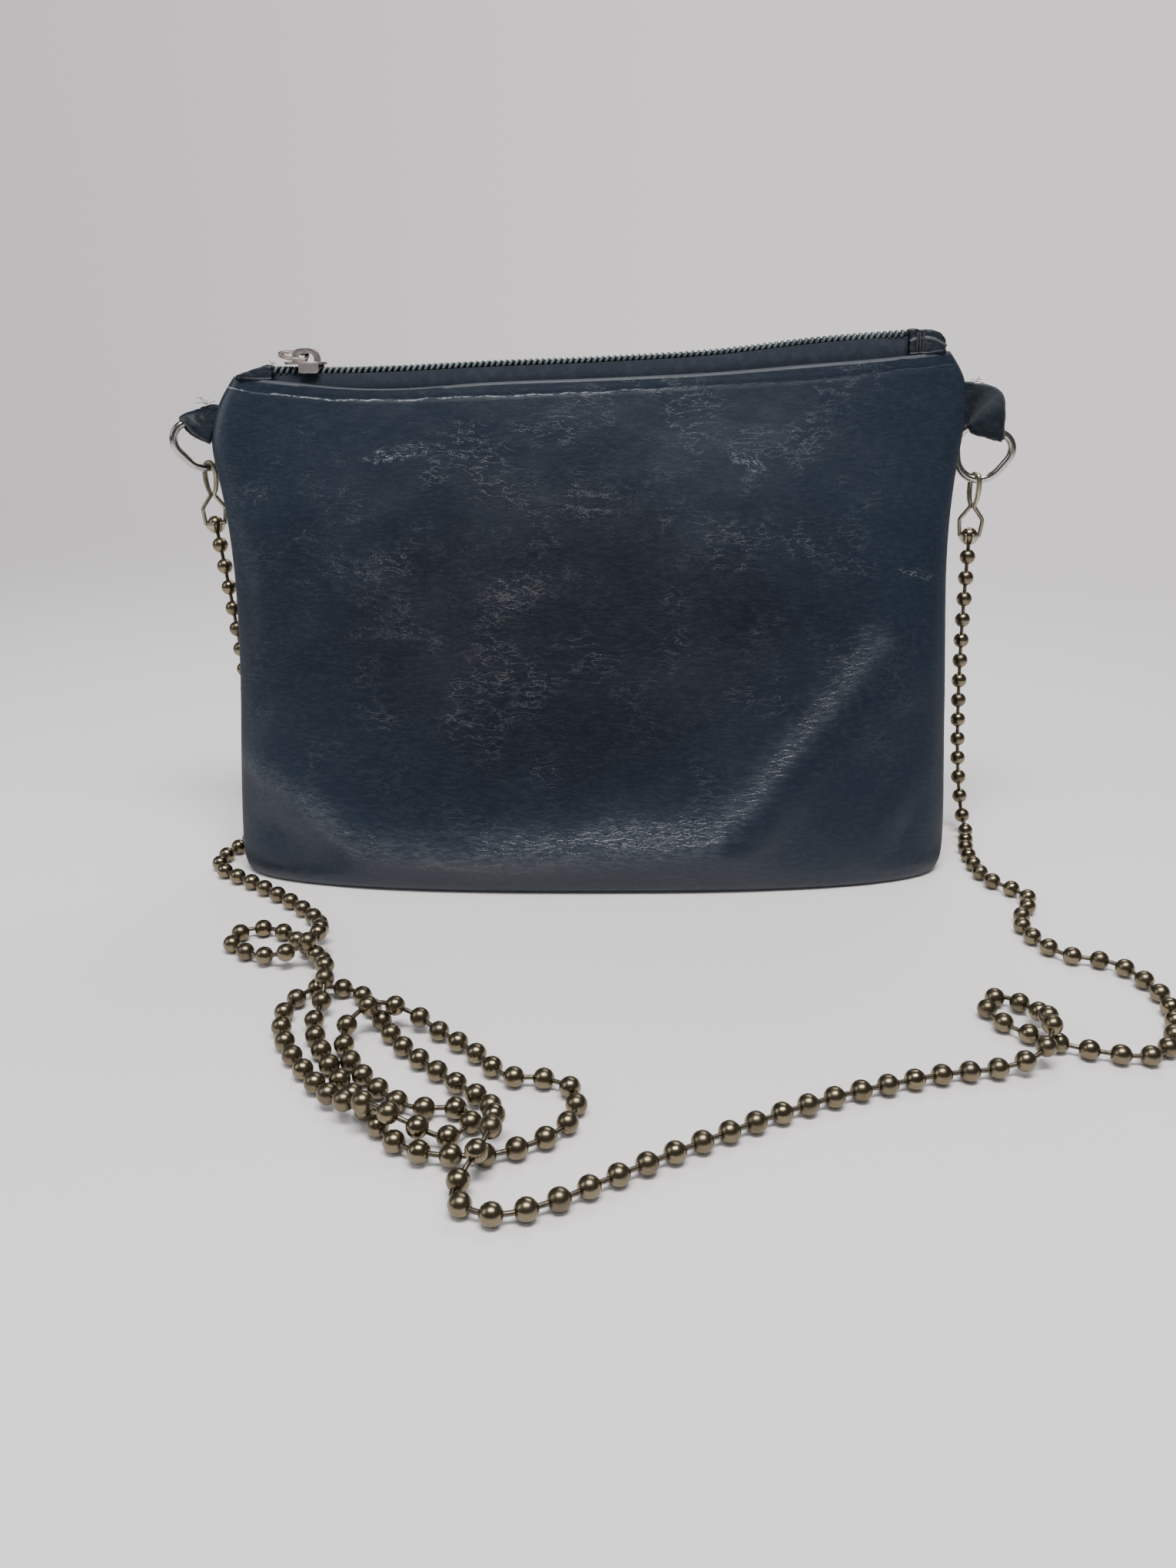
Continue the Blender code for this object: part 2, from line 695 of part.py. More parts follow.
def make_tab(side):
    """A leather strip from the side seam, folded round the ring's bar, with a channel for the bar."""
    name = "tab_" + side
    sign, _, _, yaw, _, tab_rise = ring_poses[side]
    frame = ring_frame(side)
    middle = frame.translation
    sleeve_radius = ring_wire / 2 + gap + tab_leather
    top = middle.z + tab_rise
    root_top = side_x(sign, top) + sign * gap
    bar_inner = frame @ Vector((-sign * tab_width / 2, 0, 0))
    low = bar_inner.z + ring_wire / 2 + 1.5 * gap
    root_low = side_x(sign, low) + sign * gap
    root_middle = side_x(sign, (low + top) / 2) + sign * gap
    bar_outer = frame @ Vector((sign * tab_width / 2, 0, 0))
    outline = [
        (root_low, low),
        (bar_inner.x, bar_inner.z),
        (bar_outer.x, bar_outer.z),
        (bar_outer.x - sign * 0.10 * tab_width, bar_outer.z + 0.84 * tab_rise),
        (root_top + sign * 0.35 * tab_width, top),
        (root_top, top - 0.3 * MM),
        (root_middle, (low + top) / 2),
    ]
    strip = block_mesh(name, outline, tab_strip, 0.3 * MM)
    for vertex in strip.vertices:
        towards_bar = min(max((top - vertex.co.z) / tab_rise, 0), 1)
        beyond = (vertex.co.x - middle.x) * math.tan(yaw) + middle.y - middle.z * lean
        vertex.co.y += vertex.co.z * lean + beyond * towards_bar
    tab = add_object(name, strip, NAVY_LEATHER)
    turn = Matrix.Rotation(math.pi / 2, 4, "Y")
    shape = bmesh.new()
    bmesh.ops.create_cone(
        shape, cap_ends=True, segments=14, radius1=sleeve_radius, radius2=sleeve_radius, depth=tab_width
    )
    sleeve = mesh_from("sleeve", shape)
    sleeve.transform(frame @ turn)
    combine(tab, cutter("sleeve", sleeve), "UNION")
    shape = bmesh.new()
    channel_radius = ring_wire / 2 + gap
    bmesh.ops.create_cone(
        shape, cap_ends=True, segments=12, radius1=channel_radius, radius2=channel_radius, depth=ring_width
    )
    channel = mesh_from("channel", shape)
    channel.transform(frame @ turn)
    combine(tab, cutter("channel", channel), "DIFFERENCE")
    return tab


def ring_lowest(side):
    """The lowest point of a ring's wire, at the middle of the wire, where the connector hangs."""
    frame = ring_frame(side)
    tip_middle = frame @ Vector((0, 0, -ring_height + ring_tip_radius))
    across_ring = frame.to_3x3() @ Vector((0, 1, 0))
    down = Vector((0, 0, -1))
    down -= across_ring * down.dot(across_ring)
    return tip_middle + down.normalized() * ring_tip_radius


# The connector's wire from the top of its eye down to its cup, in millimetres. The other half
# of the wire mirrors these points through the connector's axis.
connector_rows = [
    (0.00, 0.00, 0.0),
    (0.00, -1.25, -0.6),
    (0.00, -1.65, -2.0),
    (0.00, -1.55, -4.6),
    (-0.25, -0.95, -7.0),
    (-0.68, -0.12, -8.4),
    (-1.60, 0.00, -9.8),
    (-2.90, 0.00, -11.6),
    (-2.90, 0.00, -14.6),
    (-2.45, 0.00, -16.9),
    (-1.35, 0.00, -18.2),
    (0.00, 0.00, -18.6),
]
connector_drop = -connector_rows[-1][2] * MM
connector_cup_drop = 16.1 * MM


def connector_top(side):
    """The top of the connector's eye, at the middle of its wire."""
    return ring_lowest(side) + Vector((0, 0, ring_wire / 2 + gap + connector_wire / 2))


def make_connector(side):
    """A bent wire clip: an eye round the ring, a neck, a cage and the cup with the end bead."""
    name = "connector_" + side
    half = [Vector(row) * MM for row in connector_rows]
    other = [Vector((-point.x, -point.y, point.z)) for point in reversed(half[1:-1])]
    yaw = ring_poses[side][3]
    place = Matrix.Translation(connector_top(side)) @ Matrix.Rotation(yaw, 4, "Z")
    points = [place @ point for point in half + other]
    connector = wire_object(name, points, connector_wire, 1, ANTIQUE_BRASS)
    shape = bmesh.new()
    bmesh.ops.create_uvsphere(shape, u_segments=12, v_segments=8, radius=connector_cup_radius)
    cup = mesh_from("cup", shape)
    cup.transform(place @ Matrix.Translation((0, 0, -connector_cup_drop)))
    combine(connector, cutter("cup", cup), "UNION")
    return connector


def chain_end(side):
    """Where the chain starts below a connector."""
    return connector_top(side) - Vector((0, 0, connector_drop + connector_wire / 2 + gap))


def make_chain():
    """The ball chain's outer form: one tube along its route, read from a smooth curve."""
    knots = [chain_end("left")]
    for x, y, lift in route_rows:
        knots.append(Vector((x * MM, y * MM, bead_diameter * (0.5 + lift))))
    knots.append(chain_end("right"))
    numbered = [(number, *knot) for number, knot in enumerate(knots)]
    points = []
    for number in range(CHAIN_POINTS):
        place = number / (CHAIN_POINTS - 1) * (len(knots) - 1)
        point = Vector([smooth_read(numbered, column, place) for column in (1, 2, 3)])
        point.z = max(point.z, bead_diameter / 2)
        points.append(point)
    chain = make_wire("chain", points, bead_diameter, False, 2)
    chain.data.materials.append(make_material("chain", *ANTIQUE_BRASS))
    return chain


make_panel("front_panel", -1, 44, 2)
make_panel("back_panel", 1, 26, 1)
make_tape("zip_tape_front", -1)
make_tape("zip_tape_back", 1)
make_coil()
make_zip_end("zip_end_left", -1)
make_zip_end("zip_end_right", 1)
make_slider()
make_pull()
for ring_side in ring_poses:
    make_tab(ring_side)
    make_ring(ring_side)
    make_connector(ring_side)
make_chain()
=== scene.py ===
import math

import bmesh
import bpy
import numpy as np
from mathutils import Matrix, Vector, noise


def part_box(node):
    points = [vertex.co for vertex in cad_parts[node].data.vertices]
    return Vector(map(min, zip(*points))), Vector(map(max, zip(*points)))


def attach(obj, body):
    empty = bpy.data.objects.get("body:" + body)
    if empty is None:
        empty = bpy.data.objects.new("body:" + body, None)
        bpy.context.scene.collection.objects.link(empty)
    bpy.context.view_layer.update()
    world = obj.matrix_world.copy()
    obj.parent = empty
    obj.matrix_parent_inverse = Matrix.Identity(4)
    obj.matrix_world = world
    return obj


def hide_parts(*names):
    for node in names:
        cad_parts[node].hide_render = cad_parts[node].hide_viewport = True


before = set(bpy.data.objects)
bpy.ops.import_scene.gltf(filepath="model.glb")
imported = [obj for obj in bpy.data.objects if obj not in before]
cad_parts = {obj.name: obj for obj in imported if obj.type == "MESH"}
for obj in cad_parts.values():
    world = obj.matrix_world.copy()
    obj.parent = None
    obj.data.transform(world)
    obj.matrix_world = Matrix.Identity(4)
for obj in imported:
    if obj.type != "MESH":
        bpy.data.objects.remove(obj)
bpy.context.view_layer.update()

# Camera
# The pouch is seen from the front and a little above, from about 30 cm away, with a wide lens. The
# chain's outermost bend reaches the right edge of the picture.
lens_length = 27.03
camera_place = (-0.0011, -0.2965, 0.1306)
camera_pitch = 19.95


def place_object(name, data):
    """A new object in the scene that holds the data."""
    thing = bpy.data.objects.new(name, data)
    bpy.context.scene.collection.objects.link(thing)
    return thing


camera_data = bpy.data.cameras.new("camera")
camera_data.sensor_width = 36.0
camera_data.lens = lens_length
camera_data.clip_start = 0.01
camera = place_object("camera", camera_data)
camera.location = camera_place
camera.rotation_euler = (math.radians(90 - camera_pitch), 0, 0)
bpy.context.scene.camera = camera

# Floor and light
# A pale matte sheet on a table, under a wide soft lamp overhead, in a dim room with a window on the
# left and a lamp far behind. The sheet fades into the pale background, so no edge of it shows.
floor_half = 1.6
floor_pale = (0.775, 0.750, 0.752, 1)
floor_shade = (0.735, 0.712, 0.714, 1)
backdrop_left = (0.770, 0.718, 0.730, 1)
backdrop_right = (1.080, 0.990, 1.010, 1)
room_dark = (0.104, 0.106, 0.110, 1)
room_pale = (0.50, 0.49, 0.49, 1)
wall_pale = (0.26, 0.255, 0.255, 1)
room_fill = (0.46, 0.46, 0.47, 1)


def fill_node(node, inputs):
    """Fills a node's inputs. A socket is linked to its input, and a plain value is set on it."""
    for label, value in inputs.items():
        if isinstance(value, bpy.types.NodeSocket):
            node.id_data.links.new(value, node.inputs[label])
        else:
            node.inputs[label].default_value = value


def add_node(kind, inputs, **settings):
    """A new node in the tree that the first linked socket belongs to."""
    sockets = [value for value in inputs.values() if isinstance(value, bpy.types.NodeSocket)]
    node = sockets[0].id_data.nodes.new(kind)
    for name, value in settings.items():
        setattr(node, name, value)
    fill_node(node, inputs)
    return node


def noise_value(place, scale, detail=2.0, roughness=0.5, output="Fac"):
    inputs = {"Vector": place, "Scale": scale, "Detail": detail, "Roughness": roughness}
    return add_node("ShaderNodeTexNoise", inputs).outputs[output]


def soft_range(value, low, high, start=0.0, end=1.0):
    """From start at the low value to end at the high one, with soft ends."""
    inputs = {"Value": value, "From Min": low, "From Max": high, "To Min": start, "To Max": end}
    return add_node("ShaderNodeMapRange", inputs, interpolation_type="SMOOTHSTEP").outputs["Result"]


def mix_colour(share, first, second):
    inputs = {"Factor": share, "A": first, "B": second}
    return add_node("ShaderNodeMix", inputs, data_type="RGBA").outputs["Result"]


def vector_math(operation, *values):
    node = add_node("ShaderNodeVectorMath", dict(enumerate(values)), operation=operation)
    return node.outputs["Value" if operation == "LENGTH" else "Vector"]


def axes_of(vector):
    return add_node("ShaderNodeSeparateXYZ", {"Vector": vector}).outputs


def new_material(name):
    """A material with its Principled shader and the Object coordinates of its piece."""
    material = bpy.data.materials.new(name)
    material.use_nodes = True
    nodes = material.node_tree.nodes
    return material, nodes["Principled BSDF"], nodes.new("ShaderNodeTexCoord").outputs["Object"]


floor_corners = [(x * floor_half, y * floor_half, 0) for x, y in ((-1, -1), (1, -1), (1, 1), (-1, 1))]
floor_mesh = bpy.data.meshes.new("floor")
floor_mesh.from_pydata(floor_corners, [], [(0, 1, 2, 3)])
floor = place_object("floor", floor_mesh)
pale_sheet, shader, place = new_material("pale sheet")
sheet_finish = {
    "Base Color": mix_colour(noise_value(place, 7.0), floor_pale, floor_shade),
    "Roughness": 0.65,
    "Specular IOR Level": 0.2,
    "Alpha": soft_range(vector_math("LENGTH", place), 0.20, 0.90, 1.0, 0.0),
}
fill_node(shader, sheet_finish)
floor_mesh.materials.append(pale_sheet)

world = bpy.data.worlds.new("dim room")
world.use_nodes = True
bpy.context.scene.world = world
room = world.node_tree.nodes
ray = room.new("ShaderNodeLightPath").outputs
toward = axes_of(room.new("ShaderNodeTexCoord").outputs["Generated"])
backdrop = mix_colour(soft_range(toward["X"], -0.6, 0.2), backdrop_left, backdrop_right)
mirrored_wall = mix_colour(soft_range(toward["Y"], 0.0, 0.6), room_dark, wall_pale)
mirrored_room = mix_colour(soft_range(toward["Z"], 0.02, 0.55), mirrored_wall, room_dark)
mirrored = mix_colour(soft_range(toward["Z"], -0.10, 0.02), room_pale, mirrored_room)
unseen = mix_colour(ray["Is Glossy Ray"], room_fill, mirrored)
fill_node(room["Background"], {"Color": mix_colour(ray["Is Camera Ray"], unseen, backdrop)})


def soft_light(name, place, target, size, power, colour):
    """A rectangular area light that looks at a target."""
    light = bpy.data.lights.new(name, "AREA")
    light.shape = "RECTANGLE"
    light.size, light.size_y = size
    light.energy = power
    light.color = colour
    lamp = place_object(name, light)
    lamp.location = place
    lamp.rotation_euler = (Vector(target) - Vector(place)).to_track_quat("-Z", "Y").to_euler()


soft_light("overhead lamp", (0.02, -0.30, 0.95), (0, -0.02, 0.05), (0.62, 0.26), 13.0, (1.0, 0.985, 0.965))
soft_light("window", (-0.95, -0.25, 0.60), (0, 0, 0.05), (0.50, 0.60), 2.0, (0.93, 0.97, 1.0))
soft_light("far lamp", (0.25, 0.75, 0.85), (0, 0, 0.06), (0.60, 0.30), 4.0, (1.0, 1.0, 1.0))

# Leather panels
# Two panels of dark navy waxed leather, sewn together round three sides and turned right side out.
# Use has creased the front one along its folds and rubbed the wax off along its crease and in scuffs.
# A painted highlight makes its folds paler where the lamp catches them.
centre_navy = (0.0064, 0.0088, 0.0152, 1)
side_navy = (0.0092, 0.0158, 0.0275, 1)
hair_crease = (0.047, 0.052, 0.066, 1)
# Pale rubbed wax, which also paints highlights on the front's folds, the right strip's bend and the right
# zip end's lip
rubbed_and_highlight = (0.270, 0.290, 0.315, 1)
panel_steps = 2
wave_depth = 0.00026
ripple_depth = 0.00010
wrinkle_depth = 0.00022
crease_depth = 0.00010
crease_half_width = 0.0005

# The mouth's edge, as X and Z in metres
mouth_edge = [
    (-0.0950, 0.12575), (-0.0827, 0.12462), (-0.0646, 0.12300), (-0.0475, 0.12300),
    (-0.0285, 0.12437), (0.0000, 0.12537), (0.0304, 0.12669), (0.0580, 0.12875), (0.0789, 0.13031),
    (0.0950, 0.13200),
]

# The rubbed crease below it, as X and Z in metres
mouth_crease = [
    (-0.0935, 0.1230), (-0.0771, 0.1210), (-0.0576, 0.1200), (-0.0380, 0.1207), (-0.0140, 0.1215),
    (0.0019, 0.1221), (0.0300, 0.1236), (0.0582, 0.1250), (0.0792, 0.1273), (0.0935, 0.1287),
]

# The folds that the lamp catches: X, Z to X, Z in metres, then width in metres and strength
fold_lines = [
    (-0.0940, 0.0300, -0.0740, 0.0215, 0.0040, 0.6),
    (-0.0740, 0.0215, -0.0610, 0.0115, 0.0045, 0.9),
    (-0.0610, 0.0115, -0.0300, 0.0092, 0.0050, 1.0),
    (-0.0300, 0.0092, 0.0290, 0.0140, 0.0062, 1.0),
    (0.0290, 0.0140, 0.0400, 0.0235, 0.0050, 0.8),
    (0.0400, 0.0230, 0.0732, 0.0600, 0.0042, 0.8),
]

# Soft dents: X, Z, X radius, Z radius and depth in metres, then turn in degrees
dents = [
    (-0.060, 0.088, 0.016, 0.004, 0.00028, 32),
    (-0.045, 0.078, 0.020, 0.004, -0.00024, -36),
    (-0.018, 0.070, 0.022, 0.005, 0.00022, 6),
    (0.020, 0.092, 0.018, 0.006, -0.00020, -12),
    (0.075, 0.045, 0.014, 0.005, 0.00045, 40),
    (0.080, 0.020, 0.012, 0.004, 0.00040, 60),
    (-0.083, 0.018, 0.012, 0.005, -0.00050, 50),
    (0.012, 0.056, 0.020, 0.008, -0.00024, 10),
]

# Scuffs on the front: X, Z, half length and half width in metres, then turn in degrees and strength
scuff_marks = [
    (-0.0490, 0.1075, 0.0120, 0.0024, 10, 0.85),
    (0.0405, 0.1050, 0.0070, 0.0022, -25, 0.70),
    (-0.0880, 0.0970, 0.0080, 0.0040, 20, 0.20),
    (-0.0735, 0.0890, 0.0120, 0.0005, 40, 0.30),
    (-0.0580, 0.0640, 0.0090, 0.0020, 4, 0.14),
    (-0.0160, 0.0750, 0.0220, 0.0060, 12, 0.12),
    (0.0845, 0.0775, 0.0075, 0.0018, -12, 0.36),
    (-0.0570, 0.0740, 0.0280, 0.0070, -38, 0.11),
    (-0.0300, 0.0830, 0.0200, 0.0080, 25, 0.07),
    (0.0750, 0.0560, 0.0200, 0.0120, 48, 0.07),
    (0.0100, 0.0950, 0.0300, 0.0100, 6, 0.05),
]


def settled_mesh(thing):
    """The plain mesh that a curve or an object with modifiers shows. The object itself goes."""
    bpy.context.view_layer.update()
    graph = bpy.context.evaluated_depsgraph_get()
    mesh = bpy.data.meshes.new_from_object(thing.evaluated_get(graph))
    mesh.shade_smooth()
    bpy.data.objects.remove(thing, do_unlink=True)
    return mesh


def mesh_from(shape):
    """A smooth mesh made from a bmesh, which is then freed."""
    mesh = bpy.data.meshes.new("draft")
    shape.to_mesh(mesh)
    shape.free()
    mesh.shade_smooth()
    return mesh


def add_piece(name, mesh, material, node=None, body="bag"):
    """A finished piece with its material and body, which hides the CAD node that it stands for. With
    None as its material it keeps the one that it has."""
    piece = place_object(name, mesh)
    if material:
        mesh.materials.clear()
        mesh.materials.append(material)
    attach(piece, body)
    if node:
        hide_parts(node)


def finer_copy(node, steps, crease):
    """A copy of a CAD node's solid with its triangles joined, its corners kept by creases, and its
    faces divided smoothly."""
    flat, square, corner = math.radians(35), math.radians(55), math.radians(45)
    shape = bmesh.new()
    shape.from_mesh(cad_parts[node].data)
    bmesh.ops.remove_doubles(shape, verts=shape.verts, dist=2e-6)
    bmesh.ops.join_triangles(
        shape, faces=shape.faces, angle_face_threshold=flat, angle_shape_threshold=square
    )
    marks = shape.edges.layers.float.new("crease_edge")
    for edge in shape.edges:
        if len(edge.link_faces) == 2 and edge.calc_face_angle(0) > corner:
            edge[marks] = crease
    piece = place_object("draft", mesh_from(shape))
    finer = piece.modifiers.new("finer", "SUBSURF")
    finer.levels = steps
    finer.render_levels = steps
    finer.use_limit_surface = False
    return settled_mesh(piece)


def read_points(mesh, kind="co"):
    """The mesh's points, or their normals, as rows of X, Y and Z."""
    rows = np.empty(len(mesh.vertices) * 3, np.float32)
    mesh.vertices.foreach_get(kind, rows)
    return rows.reshape(-1, 3)


def move_points(mesh, places):
    mesh.vertices.foreach_set("co", places.ravel())
    mesh.update()


def bell(value):
    """1 where the value is 0, and softly down to 0 on both sides of it."""
    return np.exp(-value * value)


def line_closeness(x, z, lines):
    """How close points are to a set of lines: a line's strength on it and 0 well away, sooner below."""
    closeness = np.zeros_like(x)
    for x0, z0, x1, z1, width, strength in lines:
        run_x, run_z = x1 - x0, z1 - z0
        along = ((x - x0) * run_x + (z - z0) * run_z) / (run_x**2 + run_z**2)
        along = np.clip(along, 0, 1)
        under = z < z0 + along * run_z
        away = np.hypot(x - x0 - along * run_x, z - z0 - along * run_z)
        reach = np.where(under, 0.6 * width, width)
        closeness = np.maximum(closeness, strength * bell(away / reach))
    return closeness


def smooth_step(value, low, high):
    share = np.clip((value - low) / (high - low), 0, 1)
    return share * share * (3 - 2 * share)


def add_mask(mesh, name, values):
    """Stores one number for each point, which a material can read."""
    layer = mesh.attributes.new(name, "FLOAT", "POINT")
    layer.data.foreach_set("value", values.astype(np.float32))


def crumple(places, scale, octaves, seed):
    """Soft noise at each point, about -1 to 1."""
    shift = Vector((seed * 3.1, seed * 1.7, seed * 2.3))
    return np.array([noise.fractal(Vector(place) * scale + shift, 0.8, 2.0, octaves) for place in places])


def line_height(table, x):
    """Where a line given as X and Z lies at each x, read smoothly."""
    knots = np.array(table)
    fine = np.linspace(knots[0, 0], knots[-1, 0], 60)
    rough = np.interp(fine, knots[:, 0], knots[:, 1])
    soft = np.convolve(np.pad(rough, 4, "edge"), np.ones(9) / 9, "valid")
    return np.interp(x, fine, soft)


def divide_folds(mesh):
    """Divides the faces once more beside the front panel's folds and its crease."""
    shape = bmesh.new()
    shape.from_mesh(mesh)
    x, y, z = np.array([face.calc_center_median() for face in shape.faces]).T
    facing_out = np.array([face.normal.y for face in shape.faces]) < -0.1
    near = line_closeness(x, z, fold_lines) > 0.02
    near = (near | (np.abs(z - line_height(mouth_crease, x)) < 0.0025)) & facing_out
    edges = list({edge for face, is_near in zip(shape.faces, near) if is_near for edge in face.edges})
    bmesh.ops.subdivide_edges(shape, edges=edges, cuts=1, use_grid_fill=True)
    shape.to_mesh(mesh)
    shape.free()
    mesh.shade_smooth()


def leather_panel(node, is_front):
    """A panel with its unevenness pushed along its normals, and masks for its folds and edges."""
    mesh = finer_copy(node, panel_steps, 1.0)
    if is_front:
        divide_folds(mesh)
    places = read_points(mesh)
    normals = read_points(mesh, "normal")
    x, y, z = places.T
    outward = smooth_step(-normals[:, 1] if is_front else normals[:, 1], 0.1, 0.5)
    below = line_height(mouth_edge, x) - z
    inside = smooth_step(0.097 - np.abs(x), 0.0, 0.010) * smooth_step(z, 0.001, 0.010)
    inside = inside * smooth_step(below, 0.0, 0.010) * outward
    push = wave_depth * crumple(places, 38.0, 2, 1) + ripple_depth * crumple(places, 140.0, 2, 2)
    folds = np.zeros_like(x)
    if is_front:
        folds = line_closeness(x, z, fold_lines) * outward
        wrinkled = 1 - np.abs(crumple(places * (0.45, 1, 1.6), 330.0, 2, 3))
        push = push + wrinkle_depth * folds * wrinkled
        for dent_x, dent_z, radius_x, radius_z, depth, turn in dents:
            cos, sin = math.cos(math.radians(turn)), math.sin(math.radians(turn))
            along = ((x - dent_x) * cos + (z - dent_z) * sin) / radius_x
            aside = ((z - dent_z) * cos - (x - dent_x) * sin) / radius_z
            push = push + depth * bell(along) * bell(aside)
    push = push * inside
    if is_front:
        off = (z - line_height(mouth_crease, x)) / crease_half_width
        push = push - crease_depth * bell(off) * outward * smooth_step(0.096 - np.abs(x), 0, 0.004)
    move_points(mesh, places + normals * push[:, None])
    add_mask(mesh, "folds", folds)
    add_mask(mesh, "sides", smooth_step(np.abs(normals[:, 0]), 0.30, 0.80))
    add_mask(mesh, "rim", (1 - smooth_step(below, 0.0001, 0.0006)) * smooth_step(z, 0.1, 0.11))
    return mesh


def named_group(name, numbers, results):
    """An empty shader node group that takes a place and some numbers and puts out numbers."""
    group = bpy.data.node_groups.new(name, "ShaderNodeTree")
    group.interface.new_socket(name="Place", in_out="INPUT", socket_type="NodeSocketVector")
    for label, value in numbers.items():
        socket = group.interface.new_socket(name=label, in_out="INPUT", socket_type="NodeSocketFloat")
        socket.default_value = value
    for label in results:
        group.interface.new_socket(name=label, in_out="OUTPUT", socket_type="NodeSocketFloat")
    return group, group.nodes.new("NodeGroupInput").outputs, group.nodes.new("NodeGroupOutput")


def math_node(operation, *values):
    return add_node("ShaderNodeMath", dict(enumerate(values)), operation=operation).outputs["Value"]


def times(first, second, plus=None):
    """The product of two sockets or numbers, with a third one added where it is given."""
    if plus is None:
        return math_node("MULTIPLY", first, second)
    return math_node("MULTIPLY_ADD", first, second, plus)


def thin_lines(value, width):
    """Thin wandering lines where a noise crosses its middle value: 1 on a line, 0 beside it."""
    off = math_node("ABSOLUTE", math_node("SUBTRACT", value, 0.5))
    return soft_range(off, 0.0, width, 1.0, 0.0)


def bump_normal(height, strength, distance):
    inputs = {"Height": height, "Strength": strength, "Distance": distance}
    return add_node("ShaderNodeBump", inputs).outputs["Normal"]


def stored_mask(material, name):
    """The mask of that name, which the piece's points hold."""
    node = material.node_tree.nodes.new("ShaderNodeAttribute")
    node.attribute_name = name
    return node.outputs["Fac"]


# Waxed leather: fine grain, a net of small wrinkles, and hair-thin creases that gather in patches
leather_grain, grain_in, grain_out = named_group(
    "waxed leather grain", {"Crumpling": 0.0}, ("Height", "Hairs", "Streaks", "Tone")
)
place = grain_in["Place"]
bend = vector_math("SUBTRACT", noise_value(place, 240.0, output="Color"), (0.5, 0.5, 0.5))
bend = vector_math("MULTIPLY", bend, (0.0022, 0.0022, 0.0022))
bent_place = vector_math("ADD", place, bend)
long_place = vector_math("MULTIPLY", bent_place, (0.62, 1.0, 1.35))
net_parts = []
for cell_scale, line_width in ((430.0, 0.10), (1000.0, 0.14)):
    cell_inputs = {"Vector": long_place, "Scale": cell_scale}
    cells = add_node("ShaderNodeTexVoronoi", cell_inputs, feature="DISTANCE_TO_EDGE")
    net_parts.append(soft_range(cells.outputs["Distance"], 0.0, line_width, 1.0, 0.0))
net = times(net_parts[1], 0.5, net_parts[0])
patches = soft_range(noise_value(place, 34.0, 3.0), 0.46, 0.68, 0.03, 0.34)
amount = times(grain_in["Crumpling"], 1.7, patches)
hair_place = vector_math("MULTIPLY", bent_place, (0.50, 1.0, 1.7))
hairs = thin_lines(noise_value(hair_place, 300.0, 5.0, 0.60), 0.020)
hair_patches = soft_range(noise_value(place, 60.0, 3.0, 0.6), 0.40, 0.72, 0.10, 1.0)
hairs = times(hairs, hair_patches)
fine = noise_value(place, 1500.0, 3.0, 0.6)
soft = noise_value(long_place, 420.0, 3.0, 0.55)
height = times(soft, times(amount, 0.8, 0.35))
height = times(fine, 0.20, height)
height = times(times(net, amount), -0.34, height)
height = times(hairs, 0.19, height)
streak_place = vector_math("MULTIPLY", bent_place, (0.30, 1.0, 1.5))
streaks = soft_range(noise_value(streak_place, 1100.0, 4.0, 0.65), 0.42, 0.66)
tone = noise_value(place, 24.0, 5.0, 0.6)
fill_node(grain_out, {"Height": height, "Hairs": hairs, "Streaks": streaks, "Tone": tone})

# A scuff: an oval of hair-thin lines that fades at its border
scuff_sizes = {
    "Centre X": 0.0,
    "Centre Z": 0.0,
    "Half length": 0.01,
    "Half width": 0.001,
    "Turn": 0.0,
    "Strength": 0.5,
}
scuff_group, scuff_in, scuff_out = named_group("scuff", scuff_sizes, ["Mask"])
place = scuff_in["Place"]
off_x = math_node("SUBTRACT", axes_of(place)["X"], scuff_in["Centre X"])
off_z = math_node("SUBTRACT", axes_of(place)["Z"], scuff_in["Centre Z"])
turn_cos = math_node("COSINE", scuff_in["Turn"])
turn_sin = math_node("SINE", scuff_in["Turn"])
along = times(off_z, turn_sin, times(off_x, turn_cos))
aside = math_node("SUBTRACT", times(off_z, turn_cos), times(off_x, turn_sin))
wander = times(noise_value(place, 300.0), 0.0020, -0.0010)
aside = math_node("ADD", aside, wander)
streak_axes = {"X": times(along, 0.30), "Y": aside}
streaks = add_node("ShaderNodeCombineXYZ", streak_axes).outputs["Vector"]
breaks = thin_lines(noise_value(streaks, 1000.0, 4.0, 0.62), 0.030)
clumps = soft_range(noise_value(place, 420.0, 3.0, 0.6), 0.42, 0.60, 0.15, 1.0)
breaks = times(breaks, clumps)
along = math_node("DIVIDE", along, scuff_in["Half length"])
aside = math_node("DIVIDE", aside, scuff_in["Half width"])
spread = times(along, along, times(aside, aside))
oval = times(soft_range(spread, 0.05, 1.0, 1.0, 0.0), breaks)
fill_node(scuff_out, {"Mask": times(oval, scuff_in["Strength"])})


